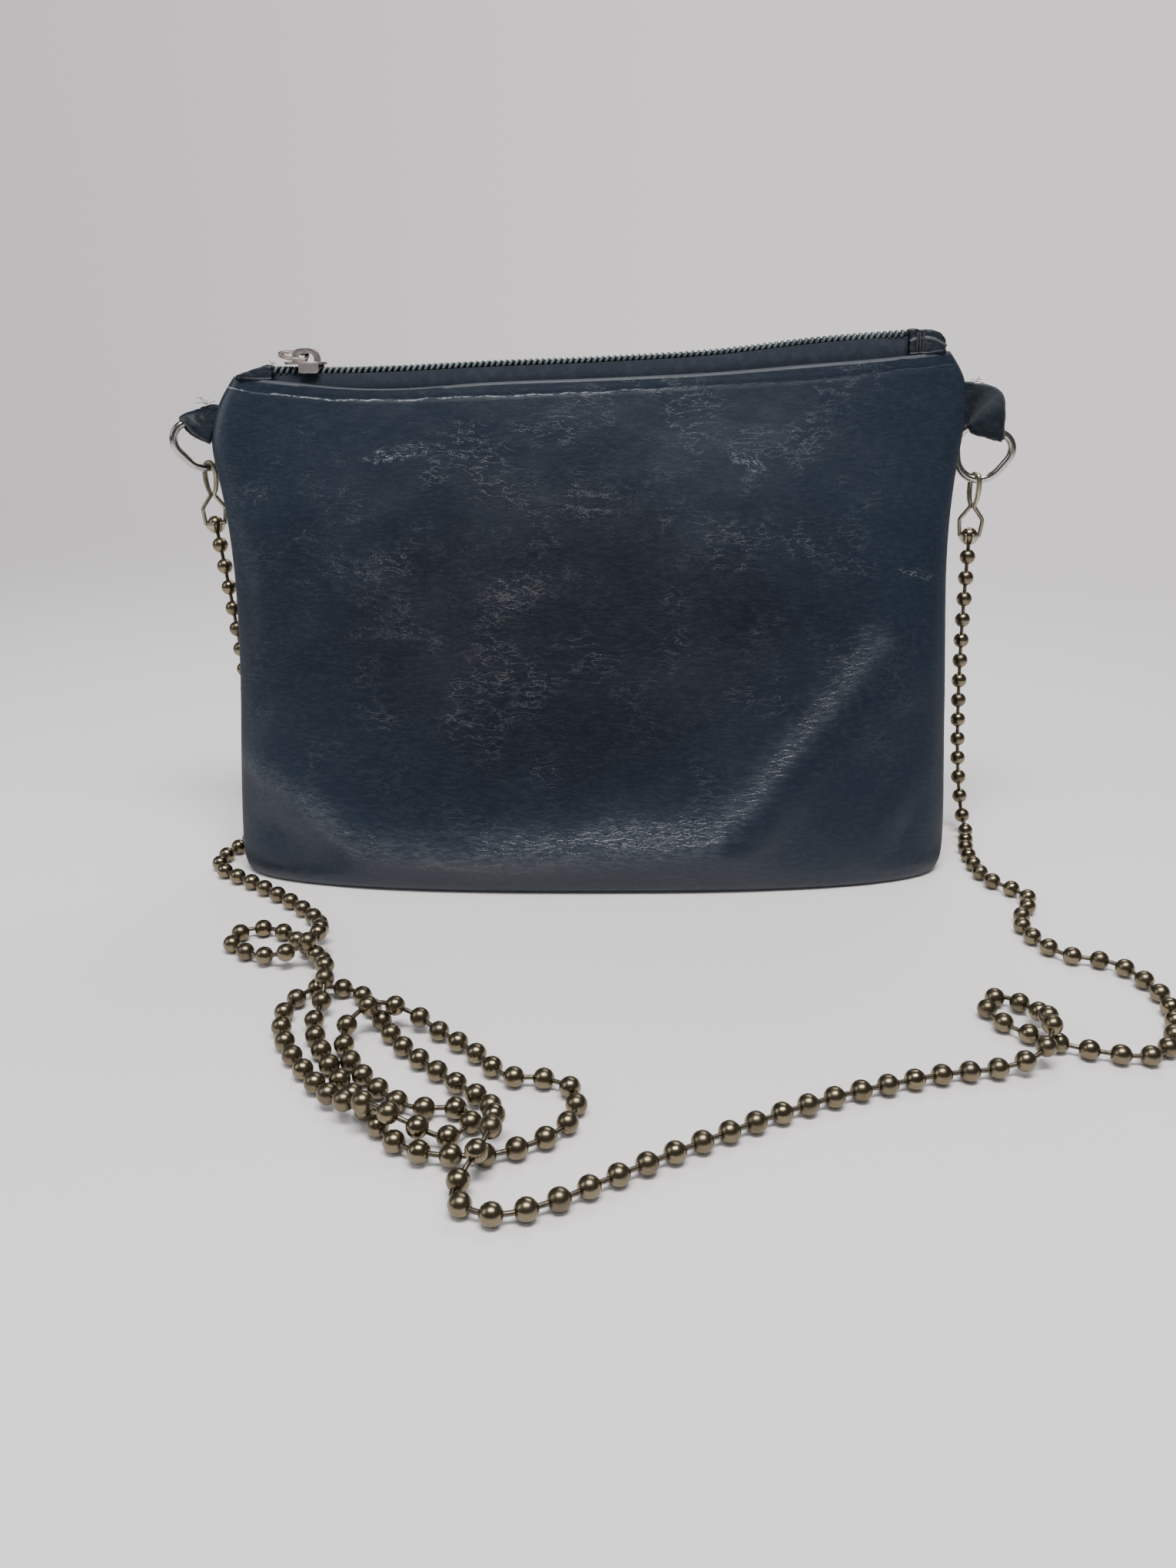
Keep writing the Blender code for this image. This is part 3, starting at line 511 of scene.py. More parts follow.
def line_mask(place, table, wobble_size, thin, wide):
    """1 on a line given as X and Z in metres, fading to 0 beside it, with a wavering course."""
    margin = 0.001
    first_x, last_x = table[0][0], table[-1][0]
    low_z = min(z for x, z in table) - margin
    high_z = max(z for x, z in table) + margin
    span = {"Value": axes_of(place)["X"], "From Min": first_x, "From Max": last_x}
    share = add_node("ShaderNodeMapRange", span).outputs["Result"]
    line = add_node("ShaderNodeFloatCurve", {"Value": share})
    curve = line.mapping.curves[0]
    shares = [((x - first_x) / (last_x - first_x), (z - low_z) / (high_z - low_z)) for x, z in table]
    curve.points[0].location = shares[0]
    curve.points[-1].location = shares[-1]
    for knot in shares[1:-1]:
        curve.points.new(*knot)
    line.mapping.update()
    middle = times(line.outputs["Value"], high_z - low_z, low_z)
    waver = times(noise_value(place, 210.0, 4.0, 0.6), 2 * wobble_size, -wobble_size)
    off = math_node("SUBTRACT", axes_of(place)["Z"], math_node("ADD", middle, waver))
    return soft_range(math_node("ABSOLUTE", off), thin, wide, 1.0, 0.0)


def leather_material(name, is_front, roughness, shine, centre, side):
    """Waxed navy leather. Only the front panel has the crease, the scuffs and the folds' painted highlight.
    """
    material, shader, place = new_material(name)
    grain = add_node("ShaderNodeGroup", {"Place": place}, node_tree=leather_grain)
    hairs, streaks, tone = [grain.outputs[label] for label in ("Hairs", "Streaks", "Tone")]
    from_middle = vector_math("SUBTRACT", place, (-0.010, 0.0, 0.062))
    from_middle = vector_math("MULTIPLY", from_middle, (0.95, 0.0, 1.75))
    outer = times(tone, 0.085, vector_math("LENGTH", from_middle))
    base = mix_colour(soft_range(outer, 0.070, 0.140), centre, side)
    base = mix_colour(times(hairs, 0.30), base, hair_crease)
    base = mix_colour(times(streaks, 0.022), base, rubbed_and_highlight)
    rough = soft_range(tone, 0.30, 0.70, roughness - 0.03, roughness + 0.05)
    rough = times(stored_mask(material, "sides"), 0.30, rough)
    rim = stored_mask(material, "rim")
    if is_front:
        folds = stored_mask(material, "folds")
        fill_node(grain, {"Crumpling": folds})
        crease = line_mask(place, mouth_crease, 0.0007, 0.00004, 0.00026)
        broken = soft_range(noise_value(place, 380.0, 4.0, 0.7), 0.42, 0.58, 0.16, 1.0)
        fading = soft_range(axes_of(place)["X"], -0.030, 0.045, 1.0, 0.10)
        wear = times(times(crease, times(broken, fading)), 0.80)
        for x, z, half_length, half_width, turn, strength in scuff_marks:
            sizes = (x, z, half_length, half_width, math.radians(turn), strength)
            scuff_inputs = {"Place": place, **dict(zip(scuff_sizes, sizes))}
            scuff = add_node("ShaderNodeGroup", scuff_inputs, node_tree=scuff_group)
            wear = math_node("MAXIMUM", wear, scuff.outputs["Mask"])
        wear = math_node("MAXIMUM", wear, times(rim, 0.10))
        # Painted highlight: the folds that the lamp catches are made paler in streaks
        wear = math_node("MAXIMUM", wear, times(folds, times(streaks, 0.09, 0.06)))
        rough = times(folds, -0.08, rough)
        rough = times(wear, 0.20, rough)
        rough = times(rim, 0.40, rough)
    else:
        # Paler at the rim mask: along the mouth's edge, on a strip's raw edges, and as a painted highlight
        # on the right strip's bend and the right zip end's lip
        wear = times(rim, 0.20)
    leather_finish = {
        "Base Color": mix_colour(wear, base, rubbed_and_highlight),
        "Roughness": rough,
        "Specular IOR Level": shine,
        "Normal": bump_normal(grain.outputs["Height"], 0.60, 0.00016),
    }
    fill_node(shader, leather_finish)
    return material


front_leather = leather_material("front leather", True, 0.31, 0.40, centre_navy, side_navy)
plain_leather = leather_material("plain leather", False, 0.36, 0.40, centre_navy, side_navy)
add_piece("pouch_front", leather_panel("front_panel", True), front_leather, "front_panel")
add_piece("pouch_back", leather_panel("back_panel", False), plain_leather, "back_panel")

# Zip tapes
# Woven navy tape with its ribs across the zip, sewn inside the panels' top edges and standing up
# to the teeth. It waves a little between its stitches.
tape_navy = (0.0110, 0.0155, 0.0245, 1)
tape_light = (0.0180, 0.0245, 0.0360, 1)
tape_rise = 0.0006
tape_material, shader, place = new_material("woven tape")
ribs = []
for direction, scale, distortion in (("X", 420.0, 0.6), ("Z", 520.0, 0.8)):
    rib_inputs = {"Vector": place, "Scale": scale, "Distortion": distortion}
    ribs.append(add_node("ShaderNodeTexWave", rib_inputs, bands_direction=direction).outputs["Fac"])
weave = times(ribs[1], 0.5, ribs[0])
tape_wear = soft_range(noise_value(place, 500.0, 3.0), 0.40, 0.75, 0.0, 0.8)
tape_finish = {
    "Base Color": mix_colour(tape_wear, tape_navy, tape_light),
    "Roughness": 0.85,
    "Specular IOR Level": 0.25,
    "Normal": bump_normal(weave, 0.35, 0.00006),
}
fill_node(shader, tape_finish)

# The teeth's course, from the middles of the CAD bar's cross sections
coil_columns = {}
for point in read_points(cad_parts["zip_coil"].data):
    coil_columns.setdefault(round(float(point[0]), 4), []).append(point)
coil_path = []
for _, rows in sorted(coil_columns.items()):
    coil_path.append(Vector(np.mean(np.unique(np.round(rows, 6), axis=0), axis=0)))
coil_course = np.array(coil_path)

for side in ("front", "back"):
    tape = finer_copy("zip_tape_" + side, 2, 0.9)
    places = read_points(tape)
    coil_height = np.interp(places[:, 0], coil_course[:, 0], coil_course[:, 2])
    places[:, 2] += tape_rise * smooth_step(places[:, 2] - coil_height, -0.0024, -0.0014)
    move_points(tape, places)
    add_piece("tape_" + side, tape, tape_material, "zip_tape_" + side)

# Zip teeth
# A closed number 5 nylon coil: a row of bent loops from each tape that lock along the middle, sewn
# round a thin cord.
tooth_pitch = 0.00155
tooth_wire = 0.00078
coil_half = 0.0023
cord_radius = 0.00075
cord_drop = 0.0002
left_inset = 0.0006
right_inset = 0.0014
nylon_navy = (0.050, 0.066, 0.070, 1)
nylon_dusty = (0.100, 0.128, 0.132, 1)


def skinned_mesh(rows, closed=True, capped=True):
    """A smooth mesh with faces from each row of places to the next. A closed row is a ring, and a
    cap fills the first row and the last."""
    shape = bmesh.new()
    loops = [[shape.verts.new(place) for place in row] for row in rows]
    count = len(rows[0])
    for first, second in zip(loops, loops[1:]):
        for k in range(count if closed else count - 1):
            after = (k + 1) % count
            shape.faces.new((first[k], first[after], second[after], second[k]))
    if capped:
        shape.faces.new(list(reversed(loops[0])))
        shape.faces.new(loops[-1])
    bmesh.ops.recalc_face_normals(shape, faces=shape.faces)
    return mesh_from(shape)


def heading(points, number):
    """The way a line of points runs at one of them."""
    return points[min(number + 1, len(points) - 1)] - points[max(number - 1, 0)]


def tube_mesh(points, radius, sides=6):
    """A round wire along points, with closed ends."""
    angles = [2 * math.pi * step / sides for step in range(sides)]
    turn = heading(points, 0).normalized().orthogonal().normalized()
    rings = []
    for number, point in enumerate(points):
        ahead = heading(points, number).normalized()
        turn = (turn - ahead * turn.dot(ahead)).normalized()
        other = ahead.cross(turn)
        rings.append([point + (turn * math.cos(a) + other * math.sin(a)) * radius for a in angles])
    return skinned_mesh(rings)


def joined_mesh(meshes):
    """One mesh made of several."""
    shape = bmesh.new()
    for part in meshes:
        shape.from_mesh(part)
    return mesh_from(shape)


teeth_material, shader, place = new_material("nylon teeth")
dust = soft_range(noise_value(place, 90.0, 3.0), 0.35, 0.70)
teeth_finish = {
    "Base Color": mix_colour(dust, nylon_navy, nylon_dusty),
    "Roughness": 0.30,
    "Coat Weight": 0.3,
    "Coat Roughness": 0.15,
}
fill_node(shader, teeth_finish)

half_loop = [
    Vector((-0.00045, -coil_half * 0.60, -0.00080)),
    Vector((-0.00040, -coil_half * 0.95, -0.00055)),
    Vector((-0.00012, -coil_half, 0.00000)),
    Vector((0.00020, -coil_half * 0.90, 0.00048)),
    Vector((0.00036, -coil_half * 0.50, 0.00066)),
    Vector((0.00032, 0.00030, 0.00062)),
]
other_loop = [Vector((tooth_pitch / 2 - point.x, -point.y, point.z)) for point in half_loop]
tooth_halves = [tube_mesh(loop, tooth_wire / 2) for loop in (half_loop, other_loop)]
tooth = bpy.data.objects.new("tooth", joined_mesh(tooth_halves))


def curve_object(lines, closed=False):
    """A curve of straight pieces along one or more lines of points."""
    curve = bpy.data.curves.new("draft", "CURVE")
    curve.dimensions = "3D"
    for points in lines:
        spline = curve.splines.new("POLY")
        spline.points.add(len(points) - 1)
        spline.use_cyclic_u = closed
        for knot, point in zip(spline.points, points):
            knot.co = (*point, 1)
    return place_object("draft", curve)


# Copies of one small part along a line, at an even spacing and turned along it or kept upright
row_group = bpy.data.node_groups.new("row of parts", "GeometryNodeTree")
row_kinds = {
    "Geometry": "Geometry",
    "Count": "Int",
    "Part": "Object",
    "Follow line": "Float",
    "Finish": "Material",
}
for label, kind in row_kinds.items():
    row_group.interface.new_socket(name=label, in_out="INPUT", socket_type="NodeSocket" + kind)
row_group.interface.new_socket(name="Geometry", in_out="OUTPUT", socket_type="NodeSocketGeometry")
row_in = row_group.nodes.new("NodeGroupInput").outputs
line_inputs = {"Curve": row_in["Geometry"], "Count": row_in["Count"]}
spaced = add_node("GeometryNodeResampleCurve", line_inputs, mode="COUNT")
part_info = add_node("GeometryNodeObjectInfo", {"Object": row_in["Part"]})
tangent = row_group.nodes.new("GeometryNodeInputTangent").outputs["Tangent"]
aim_inputs = {"Vector": tangent, "Factor": row_in["Follow line"]}
aim = add_node("FunctionNodeAlignRotationToVector", aim_inputs, axis="Z")
copy_inputs = {
    "Points": spaced.outputs["Curve"],
    "Instance": part_info.outputs["Geometry"],
    "Rotation": aim.outputs["Rotation"],
}
copies = add_node("GeometryNodeInstanceOnPoints", copy_inputs).outputs["Instances"]
real_copies = add_node("GeometryNodeRealizeInstances", {"Geometry": copies}).outputs["Geometry"]
finish_inputs = {"Geometry": real_copies, "Material": row_in["Finish"]}
finished = add_node("GeometryNodeSetMaterial", finish_inputs).outputs["Geometry"]
fill_node(row_group.nodes.new("NodeGroupOutput"), {"Geometry": finished})


def row_of_parts(line, part, pitch, follow, material):
    """Copies of a part along a line, at about that pitch, as one plain mesh."""
    length = sum((b - a).length for a, b in zip(line, line[1:]))
    count = round(length / pitch) + 1
    guide = curve_object([line])
    row = guide.modifiers.new("row", "NODES")
    row.node_group = row_group
    values = {"Count": count, "Part": part, "Follow line": follow, "Finish": material}
    for item in row_group.interface.items_tree:
        if item.in_out == "INPUT" and item.name in values:
            row[item.identifier] = values[item.name]
    return settled_mesh(guide)


coil_start = coil_path[0] + Vector((left_inset, 0, 0))
coil_end = coil_path[-1] - Vector((right_inset, 0, 0))
coil_line = [coil_start, *coil_path[1:-1], coil_end]
teeth = row_of_parts(coil_line, tooth, tooth_pitch, 0.0, teeth_material)
add_piece("zip_teeth", teeth, None, "zip_coil")
cord_path = [point - Vector((0, 0, cord_drop)) for point in coil_path]
add_piece("zip_cord", tube_mesh(cord_path, cord_radius, 8), tape_material)

# Zip ends
# A folded scrap of leather closes each end of the zip. The right one is crimped by a few turns of
# thread and the fold's lip stands out from it. The left one is flattened and its tip has frayed.
end_navy = (0.0088, 0.0125, 0.0195, 1)
end_leather = leather_material("end leather", False, 0.47, 0.24, end_navy, end_navy)
thread_dark = (0.010, 0.011, 0.015, 1)
thread_light = (0.030, 0.032, 0.038, 1)
thread_material, shader, place = new_material("dark thread")
twist_inputs = {"Vector": place, "Scale": 900.0}
twist = add_node("ShaderNodeTexWave", twist_inputs, bands_direction="DIAGONAL").outputs["Fac"]
fill_node(shader, {"Base Color": mix_colour(twist, thread_dark, thread_light), "Roughness": 0.75})
thread_width = 0.00042
bump_depth = 0.00018
underside_bulge = 0.0006
crimp_x = 0.0843
crimp_depth = 0.00042
lip_depth = 0.00035
lip_half_width = 0.00028
end_rounding = 0.0030
crimp_turns = [(-0.0009, 0.00018), (-0.0002, -0.00012), (0.0007, 0.00015)]


def smooth_path(knots, steps):
    """Points on a smooth curve through knots."""
    knots = [knots[0], *knots, knots[-1]]
    points = []
    for before, start, end, after in zip(knots, knots[1:], knots[2:], knots[3:]):
        for step in range(steps):
            share = step / steps
            square = share * share
            cube = square * share
            points.append(
                (2 * cube - 3 * square + 1) * start
                + (cube - 2 * square + share) * (end - before) / 2
                + (3 * square - 2 * cube) * end
                + (cube - square) * (after - start) / 2
            )
    return points + [knots[-1].copy()]


def wire_mesh(points, diameter, closed=False, roundness=5, shares=()):
    """A round bent wire, whose thickness at each point can be a share of its diameter."""
    guide = curve_object([points], closed)
    guide.data.bevel_depth = diameter / 2
    guide.data.bevel_resolution = roundness
    guide.data.use_fill_caps = True
    for knot, share in zip(guide.data.splines[0].points, shares):
        knot.radius = share
    return settled_mesh(guide)


def crimp_turn(middle, half_y, half_z, off_x, slant):
    """One turn of thread round the zip's end: a rounded square that leans a little."""
    steps = 28
    loop = []
    for step in range(steps):
        angle = 2 * math.pi * step / steps
        cos, sin = math.cos(angle), math.sin(angle)
        bulge = 0.88 / (abs(cos) ** 4 + abs(sin) ** 4) ** 0.25
        step_y, step_z = half_y * bulge * cos, half_z * bulge * sin
        loop.append(middle + Vector((off_x + slant * sin, step_y + step_z * 0.2, step_z)))
    return wire_mesh(loop, thread_width, True)


for side in ("left", "right"):
    mesh = finer_copy("zip_end_" + side, 4, 0.30)
    places = read_points(mesh)
    normals = read_points(mesh, "normal")
    x, y, z = places.T
    low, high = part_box("zip_end_" + side)
    push = bump_depth * crumple(places, 420.0, 3, 7)
    push = push + underside_bulge * smooth_step(-normals[:, 2], 0.3, 0.8)
    if side == "right":
        pinch = bell((x - crimp_x) / 0.0010)
        lip_height = low[2] + 0.62 * (high[2] - low[2]) - 57.0 * (x - crimp_x - 0.0010) ** 2
        lip = bell((z - lip_height) / lip_half_width) * (normals[:, 1] < -0.3)
        push = push - crimp_depth * pinch + lip_depth * lip * (1 - pinch)
        # Painted highlight: the lip is paler through the rim mask, less where the thread pinches it
        add_mask(mesh, "rim", lip * 1.6 * (1 - 0.7 * pinch))
    places = places + normals * push[:, None]
    if side == "right":
        past = np.clip((x - high[0] + end_rounding) / end_rounding, 0, 1)
        middle_z = low[2] + 0.40 * (high[2] - low[2])
        above = np.maximum(places[:, 2] - middle_z, 0)
        places[:, 2] -= above * (1 - np.sqrt(1 - 0.80 * past**2))
    move_points(mesh, places)
    add_piece("end_" + side, mesh, end_leather, "zip_end_" + side)
    if side == "right":
        around = places[np.abs(x - crimp_x) < 0.0006]
        middle = Vector((crimp_x, *((around.min(0) + around.max(0)) / 2)[1:]))
        half_y, half_z = ((around.max(0) - around.min(0)) / 2)[1:]
        turns = [crimp_turn(middle, half_y, half_z, off_x, slant) for off_x, slant in crimp_turns]
        add_piece("end_thread", joined_mesh(turns), thread_material)

# Slider and pull
# A cast slider with a bridge on top, and a small pull that hangs from the bridge and lies over to
# the left. Both are nickel plated and worn to a warm grey.
nickel = (0.43, 0.385, 0.370, 1)
nickel_dark = (0.26, 0.230, 0.220, 1)
slider_low, slider_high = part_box("zip_slider")
slider_half = (slider_high[1] - slider_low[1]) / 2
slider_middle = (Vector(slider_low) + Vector(slider_high)) / 2
slider_middle.z = slider_high[2] - 0.0026
plate_thickness = 0.0007
flange_thickness = 0.0009
bridge_width = 0.0020
bridge_thickness = 0.0014
pull_thickness = 0.00085
rounding = 0.00026
pull_pivot = slider_middle + Vector((0, 0, 0.0011))
pull_tilt = math.radians(26)
pull_lift = math.radians(6)

metal_wear, wear_in, wear_out = named_group(
    "metal wear", {"Scale": 400.0}, ("Tarnish", "Roughness", "Height")
)
patchy = noise_value(wear_in["Place"], wear_in["Scale"], 5.0)
wear_masks = {
    "Tarnish": soft_range(patchy, 0.42, 0.68),
    "Roughness": soft_range(patchy, 0.30, 0.75),
    "Height": patchy,
}
fill_node(wear_out, wear_masks)


def metal_material(name, bright, dark, scale, tarnish, polish, dullest, bumps):
    """A worn plated metal whose tarnish gathers in patches."""
    material, shader, place = new_material(name)
    wear = add_node("ShaderNodeGroup", {"Place": place, "Scale": scale}, node_tree=metal_wear).outputs
    metal_finish = {
        "Base Color": mix_colour(times(wear["Tarnish"], tarnish), bright, dark),
        "Roughness": times(wear["Roughness"], dullest - polish, polish),
        "Metallic": 1.0,
        "Normal": bump_normal(wear["Height"], bumps, 0.00004),
    }
    fill_node(shader, metal_finish)
    return material


def plate_mesh(loops, thickness, turn):
    """A flat plate. The first loop of X and Y is its outline and the others are its holes."""
    plate = curve_object([[(x, y, 0) for x, y in loop] for loop in loops], True)
    plate.data.dimensions = "2D"
    plate.data.fill_mode = "BOTH"
    plate.data.extrude = thickness / 2
    shape = bmesh.new()
    shape.from_mesh(settled_mesh(plate))
    bmesh.ops.remove_doubles(shape, verts=shape.verts, dist=1e-6)
    bmesh.ops.recalc_face_normals(shape, faces=shape.faces)
    shape.transform(turn)
    return mesh_from(shape)


def band_mesh(path, wide, half_thick):
    """A flat band bent along a path. Wide is a step from its middle to its side."""
    rows = []
    for number, point in enumerate(path):
        thin = heading(path, number).cross(wide).normalized() * half_thick
        rows.append([point - wide - thin, point + wide - thin, point + wide + thin, point - wide + thin])
    return skinned_mesh(rows)


def rounded_mesh(meshes):
    """Sharp-edged parts joined into one mesh, with every corner rounded off."""
    piece = place_object("draft", joined_mesh(meshes))
    edges = piece.modifiers.new("edges", "BEVEL")
    edges.width = rounding
    edges.segments = 3
    edges.limit_method = "ANGLE"
    edges.angle_limit = math.radians(38)
    piece.modifiers.new("flats", "WEIGHTED_NORMAL")
    return settled_mesh(piece)


def both_sides(*half_outline):
    """An outline and its mirror image in Y, as one loop."""
    return [*half_outline, *((x, -y) for x, y in reversed(half_outline))]


slider_nickel = metal_material("slider nickel", nickel, nickel_dark, 420.0, 0.35, 0.34, 0.48, 0.04)
plate_side = slider_half - 0.0002
plate_outline = both_sides(
    (-0.0054, 0.0018), (-0.0047, 0.0027), (-0.0032, plate_side), (0.0026, plate_side),
    (0.0041, 0.0027), (0.0049, 0.0014),
)
flange_outline = [
    (-0.0015, 0.0), (-0.0015, -0.0019), (-0.0010, -0.0025), (0.0031, -0.0025), (0.0037, -0.0019),
    (0.0037, 0.0),
]
bridge_knots = [
    (-0.0029, -0.0003), (-0.0029, 0.0012), (-0.0025, 0.0021), (-0.0015, 0.0026), (0.0010, 0.0027),
    (0.0021, 0.0022), (0.0027, 0.0011), (0.0028, -0.0003),
]
at_slider = Matrix.Translation(slider_middle)
upright = Matrix.Rotation(math.pi / 2, 4, "X")
under = Matrix.Translation((0, 0, -plate_thickness / 2))
slider_parts = [plate_mesh([plate_outline], plate_thickness, at_slider @ under)]
for sign in (-1, 1):
    beside = Matrix.Translation((0, sign * (slider_half - flange_thickness / 2), -0.0003))
    slider_parts.append(plate_mesh([flange_outline], flange_thickness, at_slider @ beside @ upright))
bridge_path = smooth_path([slider_middle + Vector((x, 0, z)) for x, z in bridge_knots], 6)
slider_parts.append(band_mesh(bridge_path, Vector((0, bridge_width / 2, 0)), bridge_thickness / 2))
add_piece("slider", rounded_mesh(slider_parts), slider_nickel, "zip_slider")

pull_outline = both_sides(
    (0.00045, 0.0014), (0.00015, 0.0021), (-0.0005, 0.0022), (-0.0038, 0.0021), (-0.0056, 0.0016),
    (-0.0068, 0.0010), (-0.0073, 0.0004),
)
pull_window = both_sides(
    (-0.0004, 0.0012), (-0.0007, 0.0014), (-0.0037, 0.0014), (-0.0053, 0.0010), (-0.0064, 0.0004),
)
at_pivot = Matrix.Translation(pull_pivot) @ Matrix.Rotation(pull_lift, 4, "Y")
at_pivot = at_pivot @ Matrix.Rotation(pull_tilt, 4, "X")
pull_plate = plate_mesh([pull_outline, pull_window], pull_thickness, at_pivot)
add_piece("pull", rounded_mesh([pull_plate]), slider_nickel, "zip_pull", "zip_pull")

# Rings
# Two D-rings of bent and polished nickel wire. Each hangs by its straight bar in the fold of a
# side tab, and the eye of a connector goes round its bow.
ring_wire = 0.0021
ring_bright = (0.52, 0.49, 0.46, 1)
ring_dark = (0.26, 0.23, 0.21, 1)

# How far each ring is turned about Z, and about its own Y
ring_turns = {"left": (math.radians(28), math.radians(-20)), "right": (math.radians(-15), math.radians(14))}

# A ring's wire goes round three circles, given as X, Z and radius in metres
ring_circles = [(-0.0028, -0.0044, 0.0044), (0.0, -0.0067, 0.0061), (0.0028, -0.0044, 0.0044)]
ring_frames = {}


def rounded_outline(circles, steps):
    """The outline round three circles of X, Z and radius, listed anticlockwise."""
    points = []
    normals = []
    for number, (x0, z0, r0) in enumerate(circles):
        x1, z1, r1 = circles[(number + 1) % len(circles)]
        distance = math.hypot(x1 - x0, z1 - z0)
        normals.append(math.atan2(z1 - z0, x1 - x0) - math.acos((r0 - r1) / distance))
    for number, (x, z, radius) in enumerate(circles):
        start = normals[number - 1]
        turn = (normals[number] - start) % (2 * math.pi)
        for step in range(steps + 1):
            angle = start + turn * step / steps
            points.append(Vector((x + radius * math.cos(angle), 0, z + radius * math.sin(angle))))
    return points


ring_nickel = metal_material("ring nickel", ring_bright, ring_dark, 200.0, 0.45, 0.12, 0.22, 0.02)
for side, (yaw, roll) in ring_turns.items():
    turn = Matrix.Rotation(yaw, 4, "Z") @ Matrix.Rotation(roll, 4, "Y")
    loop = [turn @ point for point in rounded_outline(ring_circles, 16)]
    loop_low = Vector(min(point[axis] for point in loop) for axis in range(3))
    loop_high = Vector(max(point[axis] for point in loop) for axis in range(3))
    low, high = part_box("d_ring_" + side)
    move = (Vector(low) + Vector(high) - loop_low - loop_high) / 2
    ring_frames[side] = Matrix.Translation(move) @ turn
    ring = wire_mesh([point + move for point in loop], ring_wire, True)
    add_piece("ring_" + side, ring, ring_nickel, "d_ring_" + side)

# Side tabs
# A strip of the same leather is folded over each ring's bar and both its ends are sewn into the
# side seam. Its cut edges are raw, and a few threads stick out of them.
strip_navy = (0.0048, 0.0082, 0.0142, 1)
strip_leather = leather_material("strip leather", False, 0.50, 0.18, strip_navy, strip_navy)
strip_thickness = 0.0011
strip_columns = 15
knot_steps = 4
wrap_radius = 0.00160
fold_gap = 0.0008
seam_gap = 0.0006
grain_depth = 0.00005
buckle_depth = 0.00022
loose_thread_radius = 0.00007

# How far back the side seam goes for each metre up, because the pouch leans
lean = 0.2162

# For each strip: where its two edges leave the side seam, where they bend, both as X and Z, and
# where along the ring's bar they lie
tab_shapes = {
    "left": (
        ((-0.0965, 0.1186), (-0.1001, 0.1090)),
        ((-0.0991, 0.1182), (-0.1043, 0.1110)),
        (0.0042, -0.0032),
    ),
    "right": (
        ((0.0972, 0.1135), (0.0962, 0.1247)),
        ((0.0976, 0.1140), (0.1065, 0.1222)),
        (-0.0056, 0.0040),
    ),
}


def strip_path(root, bend, bar, along_bar):
    """The course of a folded strip: up from the seam, round the ring's bar and down behind."""
    inward = bend - bar
    inward = (inward - along_bar * inward.dot(along_bar)).normalized()
    front = along_bar.cross(inward)
    if front.y > 0:
        front = -front
    knots = [root - Vector((0, seam_gap, 0)), bend + front * fold_gap]
    for step in range(5):
        angle = math.pi * step / 4
        knots.append(bar + (front * math.cos(angle) - inward * math.sin(angle)) * wrap_radius)
    knots += [bend - front * fold_gap, root + Vector((0, seam_gap, 0))]
    return smooth_path(knots, knot_steps)


for side, (roots, bends, bar_span) in tab_shapes.items():
    along_bar = (ring_frames[side].to_3x3() @ Vector((1, 0, 0))).normalized()
    columns = []
    raw = []
    for column in range(strip_columns):
        share = column / (strip_columns - 1)
        ragged = 0.022 * math.sin(9.1 * share + 2) + share
        root, bend = [Vector(pair[0]).lerp(Vector(pair[1]), share) for pair in (roots, bends)]
        root = Vector((root.x, root.y * lean, root.y))
        bar = ring_frames[side] @ Vector((bar_span[0] + (bar_span[1] - bar_span[0]) * ragged, 0, 0))
        bend = Vector((bend.x, (root.y + bar.y) / 2, bend.y))
        path = strip_path(root, bend, bar, along_bar)
        columns.append(path)
        edge = 0.9 if column in (0, strip_columns - 1) else 0.0
        # Painted highlight along the right strip's bend, where its fold catches the lamp
        painted_fold_highlight = 0.55 if side == "right" else 0.0
        raw.append(np.maximum(edge, painted_fold_highlight * bell((np.arange(len(path)) - knot_steps) / 1.2)))
    tab_mesh = skinned_mesh(columns, closed=False, capped=False)
    add_mask(tab_mesh, "rim", np.concatenate(raw))
    tab = place_object("draft", tab_mesh)
    thicken = tab.modifiers.new("thickness", "SOLIDIFY")
    thicken.thickness = strip_thickness
    thicken.offset = 0
    finer = tab.modifiers.new("finer", "SUBSURF")
    finer.levels = 2
    finer.render_levels = 2
    tab_mesh = settled_mesh(tab)
    places = read_points(tab_mesh)
    rough = grain_depth * crumple(places, 1500.0, 3, 5) + buckle_depth * crumple(places, 330.0, 2, 6)
    move_points(tab_mesh, places + read_points(tab_mesh, "normal") * rough[:, None])
    add_piece("strip_" + side, tab_mesh, strip_leather, "tab_" + side)

# Loose threads of the strips and of the left zip end's tip: where each bunch starts, as X, Y and Z,
# then for each thread its tip's step from there, as X and Z, and its bend
frays = {
    "fray_left": (
        (-0.1007, 0.0268, 0.1188),
        (-0.0026, 0.0018, -0.0006), (-0.0016, 0.0020, 0.0004), (0.0006, 0.0013, 0.0003),
        (-0.0030, 0.0004, -0.0003), (0.0022, 0.0008, 0.0002),
    ),
    "fray_right": (
        (0.0988, 0.0268, 0.1242),
        (0.0004, 0.0012, 0.0003), (0.0017, 0.0017, -0.0005), (0.0024, 0.0009, 0.0004),
        (-0.0006, 0.0008, 0.0002), (0.0030, 0.0000, 0.0003),
    ),
    "fray_edge": (
        (-0.1035, 0.0240, 0.1112),
        (-0.0010, -0.0009, 0.0003), (0.0004, -0.0012, 0.0002), (0.0016, -0.0014, -0.0002),
    ),
    "fray_tip": (
        (-0.0828, 0.0265, 0.1288),
        (-0.0004, 0.0012, 0.0002), (0.0008, 0.0005, 0.0002), (0.0012, -0.0002, 0.0002),
    ),
}
